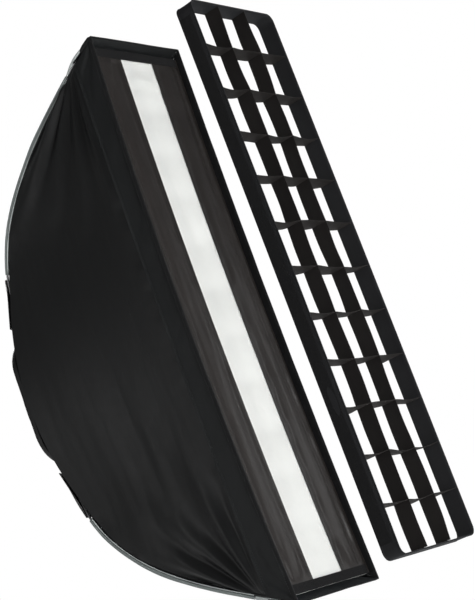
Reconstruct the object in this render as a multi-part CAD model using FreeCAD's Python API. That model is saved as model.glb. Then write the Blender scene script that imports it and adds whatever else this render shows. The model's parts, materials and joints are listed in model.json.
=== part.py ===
import FreeCAD, Part
import math
import os

# Strip softbox, 22 x 90 cm, with its pull-off egg-crate grid.
# Frame: millimetres, +Z up along the strip, +Y towards the flash head, light leaves along -Y.
# Origin: on the bore axis, at the rear face of the bayonet insert's flange.
# Depths called "yf" are measured rearwards from the front rim's corners, at FRONT_Y.

os.makedirs("parts", exist_ok=True)

V = FreeCAD.Vector

# ---- driving dimensions -------------------------------------------------
RIM_W = 220.0                        # front rim, between its long sides' ends
FRONT_Y = -390.0                     # front rim's corners
RIM_DEPTH = 48.0                     # width of the sewn rim band
RIM_BOW_OUT, RIM_BOW_BACK = 6.0, 10.0
FABRIC, LINING, GAP = 1.5, 1.0, 0.4

ROD_R = 2.0
ROD_START = (45.0, 370.0, 78.0)      # x, yf, z of the rod at its socket's mouth
ROD_END = (108.0, 8.0, 452.0)        # and at the front corner
ROD_PULL = ((255.0, 392.0), (355.0, 245.0))   # z, yf of the two inner control points
SLEEVE_HALF = (5.5, 4.0)             # half widths along and across the side panel
SLEEVE_BORE = 2.6
SEAM_OFF = 6.2                       # cloth edge to rod axis, in the rod's plane
POCKET_HALF, POCKET_BORE, CAP_R = (5.6, 5.0), 3.2, 2.9
SLIT_Z, SLEEVE_FROM_Z = 200.0, 212.0

RING_OUT, RING_IN = 82.0, 52.0
RING_Y = (-13.0, -3.0)
BORE_R, TUBE_R, REGISTER_R, FLANGE_R = 45.0, 48.5, 51.95, 60.0
FLANGE_FRONT, REGISTER_FRONT, TUBE_REAR = -2.8, -13.2, 14.0
LUG_R, LUG_Y, LUG_DEG = 53.0, (10.0, 14.0), 34.0
RETAINER_IN, RETAINER_T = 46.0, 3.0
SOCKET_R, SOCKET_LEN, SOCKET_BORE = 6.0, 22.0, 2.15
BACK_HALF_X, BACK_YF = 91.0, 376.0   # side panel's rear edge beside the ring

STRIP_HALF = 39.5                    # half the lit strip's width
FRONT_CLOTH_HALF = (106.5, 440.0)
CLOTH_T = 0.8
DIFFUSER_YF, DIFFUSER_SAG = 10.2, 9.0
HEM_H = 13.0

BAFFLE_HALF, BAFFLE_YF, BAFFLE_T = (80.0, 290.0), 170.0, 1.0

GRID_W, GRID_L, GRID_D, GRID_T = 212.0, 862.0, 30.0, 2.0
GRID_CORNER, GRID_STRIP_T, GRID_STRIP_D = 13.0, 1.2, 26.0
GRID_ROWS, GRID_COLUMNS = 12, 3
GRID_FRONT_YF, GRID_DROP = -188.0, -17.0    # where the pulled-off grid stands
GRID_STRIP_BACK = 1.5                # from the bands' front edge to the strips'
GRID_TAPE_W, GRID_TAPE_SHORT = 21.0, 22.0

CORNERS = {"tl": (-1, 1), "tr": (1, 1), "bl": (-1, -1), "br": (1, -1)}


# ---- helpers ------------------------------------------------------------
def at(x, yf, z):
    """A point given by its depth behind the front rim's corners."""
    return V(x, FRONT_Y + yf, z)


def save(name, *solids):
    """Writes one node: a single solid, or a group of separate solids."""
    shape = solids[0] if len(solids) == 1 else Part.makeCompound(list(solids))
    for solid in shape.Solids:
        assert solid.isValid() and solid.Volume > 0, name
    shape.exportStep("parts/" + name + ".step")


def box(x, y, z):
    """A block from three (low, high) pairs."""
    return Part.makeBox(x[1] - x[0], y[1] - y[0], z[1] - z[0], V(x[0], y[0], z[0]))


def tube(outer, inner, y0, y1):
    """A hollow cylinder about the bore axis."""
    along = V(0, 1, 0)
    body = Part.makeCylinder(outer, y1 - y0, V(0, y0, 0), along)
    return body.cut(Part.makeCylinder(inner, y1 - y0 + 2, V(0, y0 - 1, 0), along))


def mirror(shape, sx, sz):
    """The same shape at another corner."""
    if sx < 0:
        shape = shape.mirror(V(0, 0, 0), V(1, 0, 0))
    if sz < 0:
        shape = shape.mirror(V(0, 0, 0), V(0, 0, 1))
    return shape


def spline(points, parameters):
    """A smooth edge through the points."""
    curve = Part.BSplineCurve()
    curve.interpolate(Points=points, Parameters=parameters)
    return curve.toShape()


def arc3(a, b, c):
    """A circular edge from a through b to c."""
    return Part.Arc(a, b, c).toShape()


def thick_ruled(edge_a, edge_b, push):
    """The ruled sheet between two edges, given a thickness along push."""
    return Part.makeRuledSurface(edge_a, edge_b).extrude(push)


# ---- the bowed rod, which shapes everything else ------------------------
def rod_x(z):
    """The rod stands in an upright plane, so its x follows its height."""
    (x0, _, z0), (x1, _, z1) = ROD_START, ROD_END
    return x0 + (x1 - x0) * (z - z0) / (z1 - z0)


def rod_poles():
    """The rod's (z, yf) poles."""
    return [(ROD_START[2], ROD_START[1]), *ROD_PULL, (ROD_END[2], ROD_END[1])]


def beside_rod(t, off=0.0):
    """(z, yf) on the rod at parameter t, or off mm inside its bend."""
    poles = rod_poles()
    weights = ((1 - t) ** 3, 3 * t * (1 - t) ** 2, 3 * t * t * (1 - t), t ** 3)
    slopes = ((1 - t) ** 2, 2 * t * (1 - t), t * t)
    z, yf = (sum(w * pole[i] for w, pole in zip(weights, poles)) for i in (0, 1))
    dz, dy = (sum(w * (poles[k + 1][i] - poles[k][i]) for k, w in enumerate(slopes)) for i in (0, 1))
    length = math.hypot(dz, dy)
    return z + off * dy / length, yf - off * dz / length


def parameter(rises, target):
    """Where a rising function of t reaches the target, by halving."""
    low, high = 0.0, 1.0
    for _ in range(40):
        middle = (low + high) / 2
        if rises(middle) < target:
            low = middle
        else:
            high = middle
    return low


def t_at_z(z, off=0.0):
    """The rod's parameter at a height."""
    return parameter(lambda t: beside_rod(t, off)[0], z)


def yf_at_z(z, off=0.0):
    """The rod's depth at a height."""
    return beside_rod(t_at_z(z, off), off)[1]


def rod_curve():
    """The top right rod's axis."""
    curve = Part.BezierCurve()
    curve.setPoles([at(rod_x(z), yf, z) for z, yf in rod_poles()])
    return curve


def swept(path, half_in, half_across, t):
    """An elliptical bar along path, its long axis in the rod's plane, starting at parameter t."""
    curve = rod_curve()
    start, tangent = curve.value(t), curve.tangent(t)[0]
    across = V(ROD_END[2] - ROD_START[2], 0, ROD_START[0] - ROD_END[0]).normalize()
    in_plane = tangent.cross(across).normalize()
    if half_in == half_across:
        profile = Part.Circle(start, tangent, half_in).toShape()
    else:
        profile = Part.Ellipse(start + in_plane * half_in, start + across * half_across, start).toShape()
    return Part.Wire([path]).makePipeShell([Part.Wire([profile])], True, False)


def rod_direction():
    """Which way the rod leaves its socket."""
    return rod_curve().tangent(0.0)[0].normalize()


# ---- flash mount --------------------------------------------------------
LUG_TURN, RETAINER_TURN = 20.0, 70.0  # degrees from +X to the first lug and the first screw


def bayonet_insert():
    """The insert that locks into the flash head: flange, register for the speedring, neck and three lugs."""
    body = tube(FLANGE_R, BORE_R, FLANGE_FRONT, 0)
    body = body.fuse(tube(REGISTER_R, BORE_R, REGISTER_FRONT, 0))
    body = body.fuse(tube(TUBE_R, BORE_R, -1, TUBE_REAR))
    ring = tube(LUG_R, TUBE_R - 1, *LUG_Y)
    for k in range(3):
        wedge = Part.makeCylinder(LUG_R + 1, LUG_Y[1] - LUG_Y[0], V(0, LUG_Y[0], 0), V(0, 1, 0), LUG_DEG)
        wedge.rotate(V(0, 0, 0), V(0, 1, 0), 120 * k + LUG_TURN)
        body = body.fuse(ring.common(wedge))
    for k in range(3):
        body = body.cut(retainer_hole(k))
    save("bayonet_insert", body.removeSplitter())


SCREW_R, SCREW_PCD_R, SCREW_HEAD_R, SCREW_HEAD_H = 1.2, 48.6, 2.2, 1.6
SCREW_INTO_INSERT = 7.0


def on_circle(radius, degrees, y):
    """A point round the bore axis."""
    a = math.radians(degrees)
    return V(radius * math.cos(a), y, radius * math.sin(a))


def retainer_hole(k):
    """The hole for one of the retainer's three screws, through the plate and into the insert."""
    foot = on_circle(SCREW_PCD_R, 120 * k + RETAINER_TURN, REGISTER_FRONT - RETAINER_T - 0.1)
    return Part.makeCylinder(SCREW_R + 0.1, RETAINER_T + SCREW_INTO_INSERT + 1, foot, V(0, 1, 0))


def insert_retainer():
    """The plate and screws that keep the speedring on the insert's register."""
    y0 = REGISTER_FRONT - RETAINER_T
    plate = tube(FLANGE_R, RETAINER_IN, y0, REGISTER_FRONT - 0.05)
    screws = []
    for k in range(3):
        plate = plate.cut(retainer_hole(k))
        foot = on_circle(SCREW_PCD_R, 120 * k + RETAINER_TURN, y0 - 0.05)
        screw = Part.makeCylinder(SCREW_R, RETAINER_T + SCREW_INTO_INSERT, foot, V(0, 1, 0))
        head = Part.makeCylinder(SCREW_HEAD_R, SCREW_HEAD_H, foot, V(0, -1, 0))
        screws.append(screw.fuse(head).removeSplitter())
    save("insert_retainer", plate)
    save("retainer_screws", *screws)


# ---- speedring, sockets and rods ----------------------------------------
STUD_R, STUD_HOLE, BOSS_R, BOSS_X = 2.5, 2.56, 4.6, 88.0
RING_MID = (RING_Y[0] + RING_Y[1]) / 2


def speedring():
    """The ring that turns on the insert and carries the four rod sockets."""
    ring = tube(RING_OUT, RING_IN, *RING_Y)
    boss = Part.makeCylinder(BOSS_R, BOSS_X - RING_OUT + 4, V(RING_OUT - 4, RING_MID, 0), V(1, 0, 0))
    ring = ring.fuse([boss] + [mirror(socket_pad(*RING_Y), sx, sz) for sx, sz in CORNERS.values()])
    ring = ring.cut(Part.makeCylinder(STUD_HOLE, BOSS_X, V(RING_IN - 4, RING_MID, 0), V(1, 0, 0)))
    for sx, sz in CORNERS.values():
        for hole in socket_bolts(SOCKET_SCREW_R + 0.1):
            ring = ring.cut(mirror(hole, sx, sz))
    save("speedring", ring.removeSplitter())


KNOB_X, KNOB_R, NECK_R = (94.0, 106.0), 10.0, 5.0
SCREW_TRAVEL = 1.2                   # from loose to tight: 1.5 turns of an M5 thread
SCALLOPS, SCALLOP_R = 8, 2.2


def thumbscrew():
    """The clamp screw that stops the speedring turning on its insert."""
    along = V(1, 0, 0)
    tip = REGISTER_R + SCREW_TRAVEL
    save("thumbscrew_stud", Part.makeCylinder(STUD_R, KNOB_X[1] - tip, V(tip, RING_MID, 0), along))
    length = KNOB_X[1] - KNOB_X[0]
    knob = Part.makeCylinder(KNOB_R, length, V(KNOB_X[0], RING_MID, 0), along)
    for k in range(SCALLOPS):
        a = 2 * math.pi * k / SCALLOPS
        foot = V(KNOB_X[0], RING_MID + (KNOB_R + 1) * math.cos(a), (KNOB_R + 1) * math.sin(a))
        knob = knob.cut(Part.makeCylinder(SCALLOP_R, length, foot, along))
    neck = Part.makeCylinder(NECK_R, KNOB_X[0] - BOSS_X - 1, V(BOSS_X + 1, RING_MID, 0), along)
    bore = Part.makeCylinder(STUD_R + 0.02, 20.0, V(BOSS_X, RING_MID, 0), along)
    save("thumbscrew_knob", knob.fuse(neck).cut(bore).removeSplitter())


SOCKET_SCREW_R, SOCKET_HEAD_R, SOCKET_HEAD_H, SOCKET_SCREW_OUT = 1.5, 2.8, 2.2, 11.5
SOCKET_SCREW_IN, SOCKET_FLOOR, ROD_SHORT = 6.0, 4.0, 5.0
FOOT_T, FOOT_HALF, FOOT_BACK, FOOT_LEN = 3.0, 15.5, 20.0, 18.0
WEB_HALF, WEB_H = 4.0, 4.0


def socket_axes():
    """Directions along and across a rod, seen from behind."""
    rod = rod_direction()
    along = V(rod.x, 0, rod.z).normalize()
    return along, V(along.z, 0, -along.x)


def socket_pad(y0, y1, half=FOOT_HALF):
    """The rectangle under a socket, between two depths."""
    along, side = socket_axes()
    heel = V(ROD_START[0], y0, ROD_START[2]) - along * FOOT_BACK
    toe = heel + along * FOOT_LEN
    outline = [heel - side * half, heel + side * half, toe + side * half, toe - side * half]
    return Part.Face(Part.makePolygon(outline + outline[:1])).extrude(V(0, y1 - y0, 0))


def socket_bolts(radius):
    """Two screws beside the rod, through the socket's foot and into the ring."""
    along, side = socket_axes()
    middle = V(ROD_START[0], RING_Y[0] - FOOT_T - 0.05, ROD_START[2]) - along * (FOOT_BACK - FOOT_LEN / 2)
    screw_len = FOOT_T + SOCKET_SCREW_IN
    return [
        Part.makeCylinder(radius, screw_len, middle + side * (s * SOCKET_SCREW_OUT), V(0, 1, 0))
        for s in (-1, 1)
    ]


def rod_sockets():
    """Four sloping barrels, each on a foot that is screwed to the front of the speedring."""
    rod = rod_direction()
    heel = at(*ROD_START) - rod * SOCKET_LEN
    barrel = Part.makeCylinder(SOCKET_R, SOCKET_LEN, heel, rod)
    foot_y = RING_Y[0] - FOOT_T
    foot = socket_pad(foot_y, RING_Y[0])
    web = socket_pad(foot_y - WEB_H, foot_y + 1, WEB_HALF)
    body = barrel.fuse([web, foot])
    body = body.cut(Part.makeCylinder(SOCKET_BORE, SOCKET_LEN, heel + rod * SOCKET_FLOOR, rod))
    body = body.cut(box((0, 200), (RING_Y[0], RING_Y[0] + 30), (0, 200)))
    for hole in socket_bolts(SOCKET_SCREW_R + 0.1):
        body = body.cut(hole)
    screws = []
    for bolt in socket_bolts(SOCKET_SCREW_R):
        centre = bolt.BoundBox.Center
        foot = V(centre.x, bolt.BoundBox.YMin, centre.z)
        head = Part.makeCylinder(SOCKET_HEAD_R, SOCKET_HEAD_H, foot, V(0, -1, 0))
        screws.append(bolt.fuse(head).removeSplitter())
    body = body.removeSplitter()
    everywhere = []
    for key, (sx, sz) in CORNERS.items():
        save("rod_socket_" + key, mirror(body, sx, sz))
        everywhere += [mirror(s, sx, sz) for s in screws]
    save("socket_screws", *everywhere)


CAP_LEN, CAP_OVER = 10.0, 8.0        # the cap, and how much of it grips the rod


def rods():
    """Four spring rods, bent between their sockets and the front corners, with a cap on each tip."""
    direction = rod_direction()
    curve = rod_curve()
    held = SOCKET_LEN - ROD_SHORT
    shank = Part.makeCylinder(ROD_R, held, at(*ROD_START) - direction * held, direction)
    bow = swept(curve.toShape(), ROD_R, ROD_R, 0.0)
    rod = shank.fuse(bow).removeSplitter()
    end, ahead = curve.value(1.0), curve.tangent(1.0)[0].normalize()
    cap = Part.makeCylinder(CAP_R, CAP_LEN, end - ahead * CAP_OVER, ahead)
    cap = cap.fuse(Part.makeSphere(CAP_R, end + ahead * (CAP_LEN - CAP_OVER)))
    bore = Part.makeCylinder(ROD_R + 0.15, CAP_OVER + 0.2, end - ahead * (CAP_OVER + 0.1), ahead)
    cap = cap.cut(bore).removeSplitter()
    caps = []
    for key, (sx, sz) in CORNERS.items():
        save("rod_" + key, mirror(rod, sx, sz))
        caps.append(mirror(cap, sx, sz))
    save("rod_caps", *caps)


POCKET_T = 0.961                     # the rod's parameter at the pocket's mouth
POCKET_END, POCKET_DEEP = 7.0, 5.4   # past the rod's end: the pocket's outside, and its floor


def sleeves():
    """The grey rod channels along the four corner seams, and the black pockets that hold the rods' tips."""
    curve = rod_curve()
    t0 = t_at_z(SLEEVE_FROM_Z)
    path = curve.toShape(t0, POCKET_T - 0.002)
    sleeve = swept(path, *SLEEVE_HALF, t0).cut(swept(path, SLEEVE_BORE, SLEEVE_BORE, t0))
    end, ahead = curve.value(1.0), curve.tangent(1.0)[0].normalize()
    path = curve.toShape(POCKET_T, 1.0)
    pocket = swept(path, *POCKET_HALF, POCKET_T)
    across = V(ROD_END[2] - ROD_START[2], 0, ROD_START[0] - ROD_END[0]).normalize()
    in_plane = ahead.cross(across).normalize()
    rim = Part.Ellipse(end + in_plane * POCKET_HALF[0], end + across * POCKET_HALF[1], end).toShape()
    pocket = pocket.fuse(Part.Face(Part.Wire([rim])).extrude(ahead * POCKET_END))
    pocket = pocket.cut(swept(path, POCKET_BORE, POCKET_BORE, POCKET_T))
    floor = Part.makeCylinder(POCKET_BORE, POCKET_DEEP, end - ahead * 0.01, ahead)
    pocket = pocket.cut(floor).removeSplitter()
    for key, (sx, sz) in CORNERS.items():
        save("rod_sleeve_" + key, mirror(sleeve, sx, sz))
        save("corner_pocket_" + key, mirror(pocket, sx, sz))


# ---- cloth panels -------------------------------------------------------
def corner_z(yf, off):
    """Where a cloth edge off mm inside the rod's last, straight stretch stands, at depth yf."""
    (za, ya), (zb, yb) = rod_poles()[2:]
    length = math.hypot(zb - za, yb - ya)
    zb, yb = zb + off * (yb - ya) / length, yb - off * (zb - za) / length
    return zb + (yf - yb) * (zb - za) / (ROD_END[1] - ya)


REAR_BOW_BACK = 2.0                  # the seam behind the rim bows back less than its front edge
PANEL_SEAM = 1.0                     # from the rim band to the panel sewn on behind it


def rim_edge(yf, yf_mid, z_end, out_mid):
    """A long edge of the rim, bowed outwards and back, on the +X side."""
    x = RIM_W / 2
    return arc3(at(x, yf, -z_end), at(x + out_mid, yf_mid, 0), at(x, yf, z_end))


def side_rims():
    """The rim band's two long sides."""
    front = rim_edge(0, RIM_BOW_BACK, corner_z(0, SEAM_OFF), RIM_BOW_OUT)
    rear = rim_edge(RIM_DEPTH, RIM_DEPTH + REAR_BOW_BACK, corner_z(RIM_DEPTH, SEAM_OFF), RIM_BOW_OUT - 0.5)
    rim = thick_ruled(front, rear, V(-FABRIC, 0, 0))
    save("rim_right", rim)
    save("rim_left", mirror(rim, -1, 1))


SEAM_OUT = 2.0                       # the panel's rear seam stands this far outside the rod's plane


def side_rear_edge(z):
    """Rear edge of the +X side panel: along the rod, then round the ring between the slits."""
    a = abs(z)
    yf = yf_at_z(max(a, SLIT_Z), SEAM_OFF)
    x = rod_x(max(a, SLIT_Z)) + SEAM_OUT
    if a < SLIT_Z:
        share = 1 - (a / SLIT_Z) ** 2
        yf += (BACK_YF - yf) * share
        x += (BACK_HALF_X - x) * share
    return x, yf


LINING_INSET = 1.5
SEAM_POINTS = 4


def parabola(curve, z0, z1):
    """The exact edge of a curve that is quadratic in z."""
    a, middle, b = curve(z0), curve((z0 + z1) / 2), curve(z1)
    arc = Part.BezierCurve()
    arc.setPoles([a, middle * 2 - (a + b) * 0.5, b])
    return arc.toShape()


def side_panel(inset, shift, thick):
    """The +X side cloth, inset mm inside its outline: an upper, a middle and a lower part, sewn as one."""
    yf_front = RIM_DEPTH + PANEL_SEAM
    z_end = corner_z(yf_front, SEAM_OFF) - PANEL_SEAM - inset

    def front(z):
        bow = 1 - (z / z_end) ** 2
        x = RIM_W / 2 + (RIM_BOW_OUT - 0.5) * bow + shift
        return at(x, yf_front + inset + REAR_BOW_BACK * bow, z)

    def rear(z):
        x, yf = side_rear_edge(z)
        return at(x + shift, yf - inset, z)

    push = V(-thick, 0, 0)
    zs = [SLIT_Z + (z_end - SLIT_Z) * k / SEAM_POINTS for k in range(SEAM_POINTS + 1)]
    seam = Part.BezierCurve()
    seam.interpolate([[rear(z)] for z in zs])
    upper = thick_ruled(parabola(front, SLIT_Z, z_end), seam.toShape(), push)
    middle = thick_ruled(parabola(front, -SLIT_Z, SLIT_Z), parabola(rear, -SLIT_Z, SLIT_Z), push)
    return middle.multiFuse([upper, mirror(upper, 1, -1)])


def side_panels():
    """The two long sides, each black cloth with a silver lining inside it."""
    panel = side_panel(0.0, 0.0, FABRIC)
    lining = side_panel(LINING_INSET, -FABRIC - GAP, LINING)
    for side, sx in (("left", -1), ("right", 1)):
        save(side + "_panel", mirror(panel.Solids[0], sx, 1))
        save(side + "_lining", mirror(lining.Solids[0], sx, 1))


END_REAR_Z, END_INSET = 116.0, 5.6


def end_curve(sx, t0, t1, shift):
    """One long edge of the top panel, beside a rod."""
    curve = Part.BezierCurve()
    curve.setPoles([at(sx * (rod_x(z) - END_INSET), yf, z) + shift for z, yf in rod_poles()])
    return curve.toShape(t0, t1)


def end_panels():
    """The top and bottom cloth between the rods, its lining, and the rim band's short sides."""
    t0 = t_at_z(END_REAR_Z)
    t1 = parameter(lambda t: -beside_rod(t)[1] if t > t0 else -ROD_START[1], -RIM_DEPTH - PANEL_SEAM)
    push = V(0, 1, 1).normalize()
    middle = push * (-FABRIC / 2)
    under = push * (-FABRIC / 2 - GAP - LINING / 0.8)
    panel = thick_ruled(end_curve(-1, t0, t1, middle), end_curve(1, t0, t1, middle), push * FABRIC)
    lining = thick_ruled(end_curve(-1, t0, t1, under), end_curve(1, t0, t1, under), push * LINING)
    z0, z1 = corner_z(0, 0), corner_z(RIM_DEPTH, 0)
    half = rod_x(z1) - END_INSET
    lines = [Part.makeLine(at(sx * half, 0, z0), at(sx * half, RIM_DEPTH, z1)) for sx in (-1, 1)]
    rim = thick_ruled(*lines, V(0, 0, -FABRIC))
    for side, sz in (("top", 1), ("bottom", -1)):
        save(side + "_panel", mirror(panel, 1, sz))
        save(side + "_lining", mirror(lining, 1, sz))
        save("rim_" + side, mirror(rim, 1, sz))


BINDING = (2.6, 2.8)                 # the tape's width and depth over the rim's edge
VELCRO_T = 0.8
LOOP_YF, LOOP_SHORT = (1.0, 24.0), (4.0, 14.0)   # the loop tape's edges, and how far each stops short


LOOP_GAP = 0.6


def rim_trim():
    """Binding tape round the rim's front edge, and the loop tape inside it that takes grid and cloth."""
    z_end = corner_z(0, SEAM_OFF)
    width, deep = BINDING
    tapes, loops = [], []
    for sx in (-1, 1):
        front = rim_edge(-deep, RIM_BOW_BACK - deep, z_end, RIM_BOW_OUT)
        rear = rim_edge(-0.1, RIM_BOW_BACK - 0.1, z_end, RIM_BOW_OUT)
        bead = thick_ruled(front, rear, V(-width, 0, 0)).translated(V((width - FABRIC) / 2, 0, 0))
        tapes.append(mirror(bead, sx, 1))
        near, far = [
            rim_edge(yf, RIM_BOW_BACK + back, z_end - short, RIM_BOW_OUT)
            for yf, back, short in zip(LOOP_YF, (1.0, 20.0), LOOP_SHORT)
        ]
        loop = thick_ruled(near, far, V(-VELCRO_T, 0, 0)).translated(V(-FABRIC - LOOP_GAP, 0, 0))
        loops.append(mirror(loop, sx, 1))
    half = rod_x(corner_z(RIM_DEPTH, 0)) - END_INSET
    for sz in (-1, 1):
        z = corner_z(0, 0) - FABRIC / 2
        bead = box((-half, half), (FRONT_Y - deep, FRONT_Y - 0.1), (z - width / 2, z + width / 2))
        tapes.append(mirror(bead, 1, sz))
    save("rim_binding", *tapes)
    save("rim_velcro", *loops)


def cloth_profile(x0, x1, half_z, yf, t):
    """A front sheet that sags back between its ends, from x0 to x1."""
    sag = DIFFUSER_SAG
    front = arc3(at(x0, yf, -half_z), at(x0, yf + sag, 0), at(x0, yf, half_z))
    face = Part.makeRuledSurface(front, front.translated(V(0, t, 0)))
    return face.extrude(V(x1 - x0, 0, 0))


def front_cloth():
    """The white front diffuser, the two masks that leave the lit strip, and the tapes that hem its ends."""
    half_x, half_z = FRONT_CLOTH_HALF
    save("front_diffuser", cloth_profile(-half_x, half_x, half_z, DIFFUSER_YF, CLOTH_T))
    mask_yf = DIFFUSER_YF - CLOTH_T - 0.3
    save("strip_mask_right", cloth_profile(STRIP_HALF, half_x, half_z, mask_yf, CLOTH_T))
    save("strip_mask_left", cloth_profile(-half_x, -STRIP_HALF, half_z, mask_yf, CLOTH_T))
    hems = []
    for sz in (-1, 1):
        z = (half_z - HEM_H, half_z) if sz > 0 else (-half_z, HEM_H - half_z)
        inside = STRIP_HALF - 0.5
        hems.append(box((-inside, inside), (FRONT_Y + mask_yf - 0.3, FRONT_Y + mask_yf + CLOTH_T - 0.3), z))
    save("diffuser_hems", *hems)


TAB_W, TAB_T, SNAP_R, SNAP_H = 12.0, 1.0, 5.0, 1.6


def inner_baffle():
    """The second diffuser, buttoned to six elastic tabs that reach to the side panels."""
    half_x, half_z = BAFFLE_HALF
    y = FRONT_Y + BAFFLE_YF
    save("inner_baffle", box((-half_x, half_x), (y, y + BAFFLE_T), (-half_z, half_z)))
    tabs, snaps = [], []
    for sz in (-1, 0, 1):
        z = sz * (half_z - 10.0)
        reach = 101.0 if sz == 0 else 93.0
        for sx in (-1, 1):
            x = sorted((sx * (half_x - 12.0), sx * reach))
            tab = box(x, (y + BAFFLE_T + 0.2, y + BAFFLE_T + 0.2 + TAB_T), (z - TAB_W / 2, z + TAB_W / 2))
            tabs.append(tab)
            snaps.append(Part.makeCylinder(SNAP_R, SNAP_H, V(sx * (half_x - 5.5), y - 0.1, z), V(0, -1, 0)))
    save("baffle_tabs", *tabs)
    save("baffle_snaps", *snaps)


# ---- back ---------------------------------------------------------------
COLLAR_HALF, COLLAR_CORNER, COLLAR_HOLE_R = (86.5, 111.0), 55.0, 70.0
COLLAR_REAR, COLLAR_SKIRT_Y = -1.2, -12.0


def rounded_block(half_x, half_z, radius, y0, y1):
    """A block with rounded upright corners, about the bore axis."""
    block = box((-half_x, half_x), (y0, y1), (-half_z, half_z))
    corners = [e for e in block.Edges if abs(e.tangentAt(e.FirstParameter).y) > 0.9]
    return block.makeFillet(radius, corners)


def rear_collar():
    """The cloth cover that closes the space between the panels and the speedring."""
    half_x, half_z = COLLAR_HALF
    tray = rounded_block(half_x, half_z, COLLAR_CORNER, COLLAR_SKIRT_Y, COLLAR_REAR)
    inside = rounded_block(half_x - FABRIC, half_z - FABRIC, COLLAR_CORNER - FABRIC,
                           COLLAR_SKIRT_Y - 1, COLLAR_REAR - FABRIC)
    tray = tray.cut(inside)
    tray = tray.cut(Part.makeCylinder(COLLAR_HOLE_R, 30, V(0, COLLAR_SKIRT_Y - 5, 0), V(0, 1, 0)))
    tray = tray.cut(Part.makeCylinder(BOSS_R + 0.6, 20, V(COLLAR_HOLE_R, RING_MID, 0), V(1, 0, 0)))
    save("rear_collar", tray.removeSplitter())


FLAP_Z, FLAP_LAP, FLAP_T = (124.0, 206.0), 30.0, 1.4
FLAP_LIFT, FLAP_CREST, FLAP_FAR = (4.0, 8.5), 4.4, 3.4


def flap_hinge():
    """The straight line along which the top right slit flap is sewn on."""
    found = []
    for z, lift in zip(FLAP_Z, FLAP_LIFT):
        x, yf = side_rear_edge(z)
        found.append(at(x - 0.5, yf + lift, z))
    return found


def flap_line(inset, lift):
    """A line of the flap that follows the rod, inset mm inwards of it and lift mm behind it."""
    steps = 6
    zs = [FLAP_Z[0] + (FLAP_Z[1] - FLAP_Z[0]) * i / steps for i in range(steps + 1)]
    points = []
    for z in zs:
        points.append(at(rod_x(z) - inset, yf_at_z(z) + lift, z))
    return spline(points, zs)


def slit_flaps():
    """Flaps that close the corner seams' slits over the rods beside the ring."""
    low, high = flap_hinge()
    hinge = Part.makeLine(low, high)
    crest = flap_line(0.0, FLAP_CREST)
    far = flap_line(FLAP_LAP, FLAP_FAR)
    push = V(0, FLAP_T * 0.95, FLAP_T * 0.3)
    flap = thick_ruled(hinge, crest, push).fuse(thick_ruled(crest, far, push)).removeSplitter()
    for key, (sx, sz) in CORNERS.items():
        save("slit_flap_" + key, mirror(flap, sx, sz))


# ---- grid ---------------------------------------------------------------
def grid_frame():
    """(front y, rear y, centre z) of the grid where it stands."""
    y = FRONT_Y + GRID_FRONT_YF
    return y, y + GRID_D, GRID_DROP


def grid_bands():
    """The grid's frame: two long bands, and two ends that wrap its rounded corners."""
    y0, y1, zc = grid_frame()
    half_x, half_z, r = GRID_W / 2, GRID_L / 2, GRID_CORNER
    side = box((half_x - GRID_T, half_x), (y0, y1), (-half_z + r, half_z - r))
    a, b = V(-half_x, 0, half_z - r), V(half_x, 0, half_z - r)
    k = r * (1 - math.sqrt(0.5))
    outer = [
        Part.Arc(a, a + V(k, 0, r - k), a + V(r, 0, r)).toShape(),
        Part.makeLine(a + V(r, 0, r), b + V(-r, 0, r)),
        Part.Arc(b + V(-r, 0, r), b + V(-k, 0, r - k), b).toShape(),
    ]
    ri = r - GRID_T
    ki = ri * (1 - math.sqrt(0.5))
    c, d = a + V(GRID_T, 0, 0), b - V(GRID_T, 0, 0)
    inner = [
        Part.makeLine(b, d),
        Part.Arc(d, d + V(-ki, 0, ri - ki), d + V(-ri, 0, ri)).toShape(),
        Part.makeLine(d + V(-ri, 0, ri), c + V(ri, 0, ri)),
        Part.Arc(c + V(ri, 0, ri), c + V(ki, 0, ri - ki), c).toShape(),
        Part.makeLine(c, a),
    ]
    end = Part.Face(Part.Wire(outer + inner)).extrude(V(0, y1 - y0, 0)).translated(V(0, y0, 0))
    down = V(0, 0, zc)
    save("grid_band_right", side.translated(down))
    save("grid_band_left", mirror(side, -1, 1).translated(down))
    save("grid_band_top", end.translated(down))
    save("grid_band_bottom", mirror(end, 1, -1).translated(down))


def grid_strips():
    """Interlocking cloth strips: the long ones are slotted from behind, the cross ones from the front."""
    y0, _, zc = grid_frame()
    y = (y0 + GRID_STRIP_BACK, y0 + GRID_STRIP_BACK + GRID_STRIP_D)
    lap = GRID_STRIP_D / 2 + 0.2
    slot = GRID_STRIP_T / 2 + 0.2
    half_x, half_z = GRID_W / 2 - GRID_T - 0.3, GRID_L / 2 - GRID_T - 0.3
    t = GRID_STRIP_T / 2
    columns = [(i - GRID_COLUMNS / 2) * 2 * half_x / GRID_COLUMNS for i in range(1, GRID_COLUMNS)]
    rows = [zc + (i - GRID_ROWS / 2) * 2 * half_z / GRID_ROWS for i in range(1, GRID_ROWS)]
    for name, x in zip(("left", "right"), columns):
        strip = box((x - t, x + t), y, (zc - half_z, zc + half_z))
        for z in rows:
            strip = strip.cut(box((x - 2, x + 2), (y[1] - lap, y[1] + 1), (z - slot, z + slot)))
        save("grid_long_strip_" + name, strip)
    crosses = []
    for z in rows:
        strip = box((-half_x, half_x), y, (z - t, z + t))
        for x in columns:
            strip = strip.cut(box((x - slot, x + slot), (y[0] - 1, y[0] + lap), (z - 2, z + 2)))
        crosses.append(strip)
    save("grid_cross_strips", *crosses)


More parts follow.
